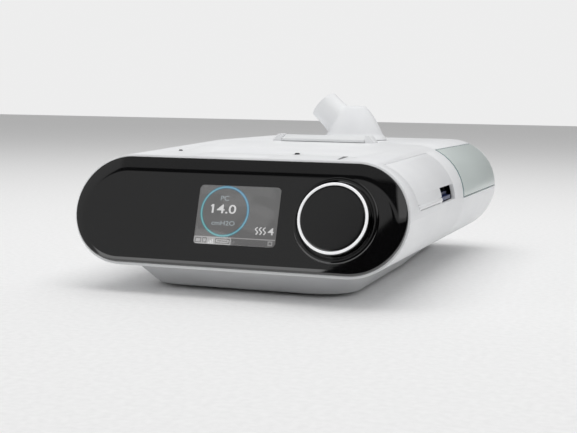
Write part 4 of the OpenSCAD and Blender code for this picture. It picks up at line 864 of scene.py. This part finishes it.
lay_on_screen(bar_mark(25.0, 0.55, 12.8, -13.7), "status_line", lit_strip)
lay_on_screen(slab(21.4, 4.1, 0.5, GLOW_LOW, GLOW_HIGH, (-10.2, -15.5)), "status_strip",
              lit_light)
for count in range(3):
    lay_on_screen(bar_mark(0.7, 1.0 + 0.8 * count, -12.3 + 1.1 * count, -16.8 + 0.4 * count),
                  "signal_bar_%d" % (count + 1), lit_white)
lay_on_screen(frame_mark(3.6, 2.8, 0.5, -18.5, -15.5), "card_mark", lit_grey)
lay_on_screen(frame_mark(2.6, 2.8, 0.5, -14.8, -15.5), "filter_mark", lit_grey)
lay_on_screen(frame_mark(8.4, 2.7, 0.45, -4.4, STRIP_MIDDLE), "mask_mark", lit_grey)
lay_on_screen(bar_mark(5.6, 0.5, -4.4, STRIP_MIDDLE), "mask_mark_bar", lit_grey)
lay_on_screen(frame_mark(2.6, 2.4, 0.6, 22.7, STRIP_MIDDLE), "clock_mark", lit_strip)
print("marks laid on the display")

# %% [markdown]
# ## The dial and its collar
#
# The cap, the bright ring and the collar are turned pieces, as they look. The cap's
# rim is rounded under the ring, and its underside is hollow round the encoder's
# shaft: insets and extrusions of its lower face make the groove and the bore. The
# ring is acrylic with a painted glow, which stands partly for lamps under it and
# partly for light that lifts it to an even white. The collar is a low
# rounded bead that catches one thin arc of light.

# %% Turn the dial
ROUND = 128
knob = turned([(18.3, 4.1), (18.9, 4.3), (19.3, 4.8), (19.3, 8.5), (19.15, 8.72), (17.5, 8.74),
               (17.5, 9.2), (17.4, 9.38), (17.15, 9.47), (16.6, 9.5), (16.2, 9.5)],
              DIAL_MIDDLE, ROUND)
edit(knob)
choose(knob, lambda f: f.normal.z < -0.99 and f.center.z < 4.2 * MM, "FACE")
# Wall, groove, hub and the shaft's bore: how far in, and how far up or down.
for inset_by, rise_by in ((1.0, 2.3), (12.2, -2.3), (2.15, 3.6)):
    bpy.ops.mesh.inset(thickness=inset_by * MM, depth=0)
    extrude(z=rise_by)
bpy.ops.object.mode_set(mode="OBJECT")
finish_shape(lay_on_face(knob), 40)
keep(knob, "dial_cap", dial_abs, "dial_knob")
ring = turned([(17.53, 8.76), (18.98, 8.76), (19.0, 9.2), (18.9, 9.52), (18.65, 9.72),
               (18.3, 9.8), (17.95, 9.74), (17.68, 9.56), (17.55, 9.3), (17.53, 8.76)],
              DIAL_MIDDLE, ROUND, True)
finish_shape(lay_on_face(ring), 50)
# The ring's glow is painted light, in part standing for lamps under it.
keep(ring, "dial_light_ring", ring_acrylic_with_painted_glow, "dial_ring")
collar = turned([(DIAL_HOLE, COLLAR_SEAT), (COLLAR_RADIUS, COLLAR_SEAT), (COLLAR_RADIUS, 3.85),
                 (23.05, 4.15), (22.7, 4.33), (22.2, 4.4), (20.9, 4.4), (20.45, 4.28),
                 (20.22, 3.95), (20.2, 3.3), (DIAL_HOLE, 3.3), (DIAL_HOLE, COLLAR_SEAT)],
                DIAL_MIDDLE, ROUND, True)
finish_shape(lay_on_face(collar), 40)
keep(collar, "dial_collar_bead", face_polycarbonate, "dial_collar")
print("dial cap, ring and collar faces:", [len(p.data.polygons) for p in (knob, ring, collar)])

# %% [markdown]
# ## The swivel elbow
#
# The hose end grows out of a tall dome with no seam between them, as one moulding.
# A union alone would leave a hard crease there. So the dome is turned ring by ring,
# the tube is pushed into it, and both are remeshed into one skin that is then
# smoothed, which rounds the crease as the mould does. The end of the tube is cut
# flat after that, and the bores come last, so their edges stay crisp.

# %% Blend the dome and the tube
SEAM_BACK, ELBOW_BACK = 150.0, 57.0
ELBOW_MIDDLE = (9.0, FACE_Y / MM + SEAM_BACK + ELBOW_BACK)
# A neck runs from the dome's foot down through the lid.
NECK_LONG, NECK_RADIUS = 9.2, 12.4
ELBOW_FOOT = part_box("elbow")[0].z / MM + NECK_LONG
# The tube rises at 42 degrees and, as in the photograph, is turned a little to the rear.
TUBE_ANGLE, TUBE_TURN = math.radians(42.0), math.radians(8.0)
TUBE_START, TUBE_LENGTH = 2.2, 32.0
DOME_FOOT, DOME_NARROWS, DOME_TALL = 20.3, 11.6, 21.0


def along_tube(piece):
    foot = Vector((*ELBOW_MIDDLE, ELBOW_FOOT + TUBE_START)) * MM
    lean = Matrix.Rotation(-(math.pi / 2 - TUBE_ANGLE), 4, "Y")
    piece.matrix_world = Matrix.Translation(foot) @ Matrix.Rotation(-TUBE_TURN, 4, "Z") @ lean
    pick(piece)
    bpy.ops.object.transform_apply(location=True, rotation=True)
    return piece


def flank(height):
    """Radius of the dome at a height over the lid."""
    share = height / DOME_TALL
    return DOME_FOOT - DOME_NARROWS * (0.5 * share + 0.5 * share ** 2)


# The rings start under the foot, so that the cut at the foot goes through a clean wall.
dome_rings = [(22.0, -3.0), (22.0, 0.7), (21.4, 1.2), (20.6, 2.1)]
dome_rings += [(flank(h), h) for h in (3.5, 6.0, 9.0, 12.0, 15.0, 18.0, 20.5)]
dome_rings += [(flank(20.5) - 1.1, 21.8), (flank(20.5) - 2.9, 22.6), (2.5, 22.9)]
elbow = turned([(r, ELBOW_FOOT + h) for r, h in dome_rings], ELBOW_MIDDLE)
tube = along_tube(turned([(11.5, 0.0), (11.3, 13.0), (10.6, 22.0), (10.3, 36.0)]))
cut_away(elbow, tube, "UNION")
skin = elbow.modifiers.new("skin", "REMESH")
skin.mode, skin.voxel_size = "VOXEL", 0.7 * MM
soft = elbow.modifiers.new("soft", "SMOOTH")
soft.factor, soft.iterations = 0.5, 12
finish_shape(elbow, 180)
print("skin faces:", len(elbow.data.polygons))

# %% [markdown]
# ## The ends and the bores of the elbow
#
# A remeshed skin has no straight edge left, so whatever has to seal is cut again.
# Two planes trim the tube's end and the dome's foot, a turned neck is added under
# the foot, and two turned cutters bore the neck and the tube.

# %% Trim and bore the elbow
along = (Matrix.Rotation(-TUBE_TURN, 3, "Z")
         @ Vector((-math.cos(TUBE_ANGLE), 0, math.sin(TUBE_ANGLE))))
tube_end = (Vector((*ELBOW_MIDDLE, ELBOW_FOOT + TUBE_START)) + along * TUBE_LENGTH) * MM
edit(elbow)
for place_cut, outwards in ((tube_end, along), ((0, 0, ELBOW_FOOT * MM), (0, 0, -1))):
    bpy.ops.mesh.select_all(action="SELECT")
    bpy.ops.mesh.bisect(plane_co=place_cut, plane_no=outwards, clear_outer=True, use_fill=True)
bpy.ops.object.mode_set(mode="OBJECT")
cut_away(elbow, turned([(NECK_RADIUS, ELBOW_FOOT - NECK_LONG), (NECK_RADIUS, ELBOW_FOOT + 0.6)],
                       ELBOW_MIDDLE), "UNION")
cut_away(elbow, along_tube(turned([(8.8, 0.0), (8.8, TUBE_LENGTH - 0.8),
                                   (9.6, TUBE_LENGTH + 0.4)])))
neck_bore = [(9.0, -12.0), (9.0, 3.0), (10.4, 6.0), (7.5, 14.0), (3.0, 17.5)]
cut_away(elbow, turned([(r, ELBOW_FOOT + h) for r, h in neck_bore], ELBOW_MIDDLE))
finish_shape(elbow, 40)
keep(elbow, "swivel_elbow", white_abs, "elbow")
print("elbow faces:", len(elbow.data.polygons))

# %% [markdown]
# ## The latch of the lid
#
# A flat lip across the front of the lid turns on a pin at its rear. A cube is sized
# to it, its top front edge is pushed down to make the sloping lip, the rear is
# rounded round the pin, and the pin's bore is cut through.

# %% Shape the latch lip
LATCH_LOW, LATCH_HIGH = [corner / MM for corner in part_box("lid_latch")]
PIN_LOW, PIN_HIGH = [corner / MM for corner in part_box("latch_pin")]
LIP_DROP, LIP_BACK, REAR_RADIUS, BORE_RADIUS, BORE_REACH = 2.6, 0.6, 1.9, 1.0, 40.0
latch_middle, latch_size = (LATCH_LOW + LATCH_HIGH) / 2, LATCH_HIGH - LATCH_LOW
pin_middle = (PIN_LOW + PIN_HIGH) / 2
deselect()
bpy.ops.mesh.primitive_cube_add(size=MM, location=latch_middle * MM)
latch = bpy.context.object
bpy.ops.object.transform_apply(location=True)
edit(latch)
bpy.ops.transform.resize(value=latch_size, center_override=latch_middle * MM)
choose(latch, lambda v: v.co.y < latch_middle.y * MM and v.co.z > latch_middle.z * MM)
bpy.ops.transform.translate(value=(0, LIP_BACK * MM, -LIP_DROP * MM))
choose(latch, lambda f: f.normal.y > 0.9, "FACE")
bpy.ops.mesh.bevel(offset=REAR_RADIUS * MM, segments=5, affect="EDGES")
bpy.ops.object.mode_set(mode="OBJECT")
round_edges(latch, 0.3, 3)
pick(latch)
bpy.ops.object.modifier_apply(modifier="edge_radius")
bore = turned([(BORE_RADIUS, -BORE_REACH), (BORE_RADIUS, BORE_REACH)])
bore.matrix_world = Matrix.Translation(pin_middle * MM) @ Matrix.Rotation(math.pi / 2, 4, "Y")
cut_away(latch, bore)
finish_shape(latch, 40)
keep(latch, "latch_lip", latch_abs, "lid_latch")
print("latch faces:", len(latch.data.polygons))

# %% [markdown]
# ## The two small lights in the top
#
# The light sensor and the status light are smoked acrylic pips that stand a little
# proud, which is why they show as dots even when the top is seen almost edge on.

# %% Turn the pips
for node in ("light_sensor_window", "status_light"):
    low, high = [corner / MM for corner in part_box(node)]
    middle, reach = (low + high) / 2, (high.x - low.x) / 2
    dome = [(1, 0.0), (0.93, 0.28), (0.7, 0.5), (0.35, 0.6)]
    pip = turned([(reach, low.z)] + [(share * reach, high.z + h) for share, h in dome],
                 (middle.x, middle.y), 48)
    finish_shape(pip, 60)
    keep(pip, node + "_pip", lamp_clear, node)
print("pip radius:", round(reach, 2), "mm")

# %% [markdown]
# ## The ramp mark
#
# The ramp key starts the slow rise of the pressure. A mid grey wedge, slim at the
# front and wider behind, lies along the right end of the key: partly its printed
# ramp, partly painted shade for the gap there. Print could be painted in the key's
# material, but a piece of its own stays sharp at any distance. It is a plane with
# its front edge drawn together, a hair thick, laid on the slope of the top.

# %% Lay the wedge of print and painted shade
LID_TOP = 78.8
KEY_FRONT, KEY_REAR = 25, 48
MARK_X, MARK_Y, MARK_SUNK = 50.5, 37, 0.04
MARK_WIDE, MARK_LONG, MARK_SLIM, MARK_LEAN, MARK_THICK = 2.8, 19.0, 0.5, 1.6, 0.12


def top_height(y):
    """Height of the top of the housing, y millimetres behind the face."""
    face_edge = FACE_HEIGHT + FACE_RADIUS * math.cos(LEAN)
    rise = 2 * FACE_RADIUS * math.sin(LEAN)
    return face_edge + (y - rise) / (SEAM_BACK - rise) * (LID_TOP - face_edge)


deselect()
bpy.ops.mesh.primitive_plane_add(size=MM)
wedge = bpy.context.object
edit(wedge)
bpy.ops.transform.resize(value=(MARK_WIDE, MARK_LONG, 1), center_override=(0, 0, 0))
choose(wedge, lambda v: v.co.y < 0)
bpy.ops.transform.resize(value=(MARK_SLIM, 1, 1), center_override=(0, 0, 0))
bpy.ops.transform.translate(value=(MARK_LEAN * MM, 0, 0))
bpy.ops.mesh.select_all(action="SELECT")
extrude(z=MARK_THICK)
bpy.ops.object.mode_set(mode="OBJECT")
slope = math.atan((top_height(KEY_REAR) - top_height(KEY_FRONT)) / (KEY_REAR - KEY_FRONT))
wedge.rotation_euler = (slope, 0, 0)
wedge.location = (MARK_X * MM, FACE_Y + MARK_Y * MM, (top_height(MARK_Y) - MARK_SUNK) * MM)
finish_shape(wedge)
# The wedge's grey is partly print and partly painted shade for the gap.
keep(wedge, "ramp_mark", ramp_print_and_painted_shade, "ramp_button", replaces=False)
print("the top rises by", round(math.degrees(slope), 2), "degrees")

# %% [markdown]
# ## The studio
#
# A catalogue picture: wide soft lights and a pale floor. Lamps close to the machine
# would draw hard squares in its polished face, so they are large and far, and gloss
# doesn't see them.

# %% Floor and lights
SPECK_MM = 3.33
AIM_AT = (0, 0, 0.05)
# White paper, matt, with a hardly visible fleck, so the floor doesn't look painted.
paper, tree, place = new_finish("pale_paper")
speck = add(tree, "ShaderNodeTexNoise", {"Scale": 1 / (SPECK_MM * MM)},
            {"Vector": place}).outputs["Fac"]
tone = add(tree, "ShaderNodeValToRGB", links={"Fac": speck},
           stops=[(0.3, colour("#EDEDED")), (0.7, colour("#F3F3F3"))]).outputs["Color"]
shader = add(tree, "ShaderNodeBsdfPrincipled", {"Roughness": 0.9}, {"Base Color": tone})
add(tree, "ShaderNodeOutputMaterial", links={"Surface": shader.outputs["BSDF"]})
bpy.ops.mesh.primitive_plane_add(size=8.0, location=(0, 0, 0))
floor = bpy.context.object
floor.name = "studio_floor"
wear(floor, paper)


def soft_light(name, stand, size, watts):
    bpy.ops.object.light_add(type="AREA", location=stand)
    lamp = bpy.context.object
    lamp.name = name
    lamp.data.shape = "RECTANGLE"
    lamp.data.size, lamp.data.size_y = size
    lamp.data.energy = watts
    aim = Vector(AIM_AT) - Vector(stand)
    lamp.rotation_euler = aim.to_track_quat("-Z", "Y").to_euler()
    # The black face would show each lamp as a hard white square.
    lamp.visible_glossy = False


soft_light("overhead", (0.0, 0.1, 1.3), (1.6, 1.4), 12)
soft_light("from_right", (1.4, -0.5, 0.8), (1.0, 0.8), 1.5)
soft_light("from_left", (-1.3, -0.9, 0.7), (1.0, 0.8), 2)
print("lights:", [light.name for light in bpy.data.lights])

# %% [markdown]
# ## The room that gloss mirrors
#
# A polished black face shows the room more than itself, so the room is built as the
# photographer built it. There is an even grey wall in front, a dark gap above it, a
# low white card at the left, a black flag at the right and a bright panel high on
# the right. Each could be a real card on a stand, but then it would also light the
# shells, so they are painted on the surround, each by its direction. Only gloss sees
# them: the camera sees a pale backdrop, and matt surfaces an even fill.

# %% Paint the surround
BACKDROP, FILL = 0.85, 0.5
# How bright the middle strip is at each rise over the horizon, in degrees, from in
# front over the top to behind.
WALL = [(-180, 0.45), (-90, 0.3), (-20, 0.26), (35, 0.26), (38, 0.02), (55, 0.02), (58, 0.17),
        (110, 0.2), (130, 0.35), (180, 0.45)]
# Each card: its brightness, and the edges where it fades in. An edge goes by x or z
# of the direction, by its rise in degrees, or by a slanting line.
CARDS = [
    (0.26, [("x", -0.52, -0.56)]),
    (0.6, [("x", 0.12, 0.16), ("z", 0.54, 0.57)]),
    (1.3, [("x", -0.289, -0.29), ("x", -0.66, -0.62), ("rise", -8, -5), ("rise", 16, 15)]),
    (0.008, [("x", -0.291, -0.29), ("slant", -0.7045, -0.704), ("z", 0.53, 0.52)]),
]
SLANT = -0.93
world = bpy.data.worlds.new("studio_surround")
bpy.context.scene.world = world
world.use_nodes = True
sky = world.node_tree
sky.nodes.clear()
direction = add(sky, "ShaderNodeTexCoord").outputs["Generated"]
aim = add(sky, "ShaderNodeSeparateXYZ", links={"Vector": direction}).outputs
ahead = add(sky, "ShaderNodeMath", {1: -1.0}, {0: aim["Y"]},
            operation="MULTIPLY").outputs["Value"]
rise = add(sky, "ShaderNodeMath", links={0: aim["Z"], 1: ahead},
           operation="ARCTAN2").outputs["Value"]
slant = add(sky, "ShaderNodeMath", {1: SLANT}, {0: aim["Z"], 2: aim["X"]},
            operation="MULTIPLY_ADD").outputs["Value"]
degrees_up = add(sky, "ShaderNodeMapRange", {"From Min": -math.pi, "From Max": math.pi,
                                             "To Min": -180.0, "To Max": 180.0},
                 {"Value": rise}).outputs["Result"]
share = add(sky, "ShaderNodeMapRange", {"From Min": -180.0, "From Max": 180.0},
            {"Value": degrees_up}).outputs["Result"]
level = add(sky, "ShaderNodeValToRGB", links={"Fac": share},
            stops=[((degrees + 180) / 360, (grey, grey, grey, 1))
                   for degrees, grey in WALL]).outputs["Color"]
measures = {"x": aim["X"], "z": aim["Z"], "rise": degrees_up, "slant": slant}
for brightness, edges in CARDS:
    mask = None
    for measure, fades_from, full_at in edges:
        side = add(sky, "ShaderNodeMapRange", {"From Min": fades_from, "From Max": full_at},
                   {"Value": measures[measure]}).outputs["Result"]
        if mask:
            side = add(sky, "ShaderNodeMath", links={0: mask, 1: side},
                       operation="MULTIPLY").outputs["Value"]
        mask = side
    level = add(sky, "ShaderNodeMix", {"B": brightness},
                {"Factor": mask, "A": level}).outputs["Result"]
ray = add(sky, "ShaderNodeLightPath").outputs
level = add(sky, "ShaderNodeMix", {"A": FILL},
            {"Factor": ray["Is Glossy Ray"], "B": level}).outputs["Result"]
level = add(sky, "ShaderNodeMix", {"B": BACKDROP},
            {"Factor": ray["Is Camera Ray"], "A": level}).outputs["Result"]
background = add(sky, "ShaderNodeBackground", links={"Color": level}).outputs["Background"]
add(sky, "ShaderNodeOutputWorld", links={"Surface": background})
bpy.context.scene.view_settings.view_transform = "Standard"
print("surround painted, cards:", len(CARDS))
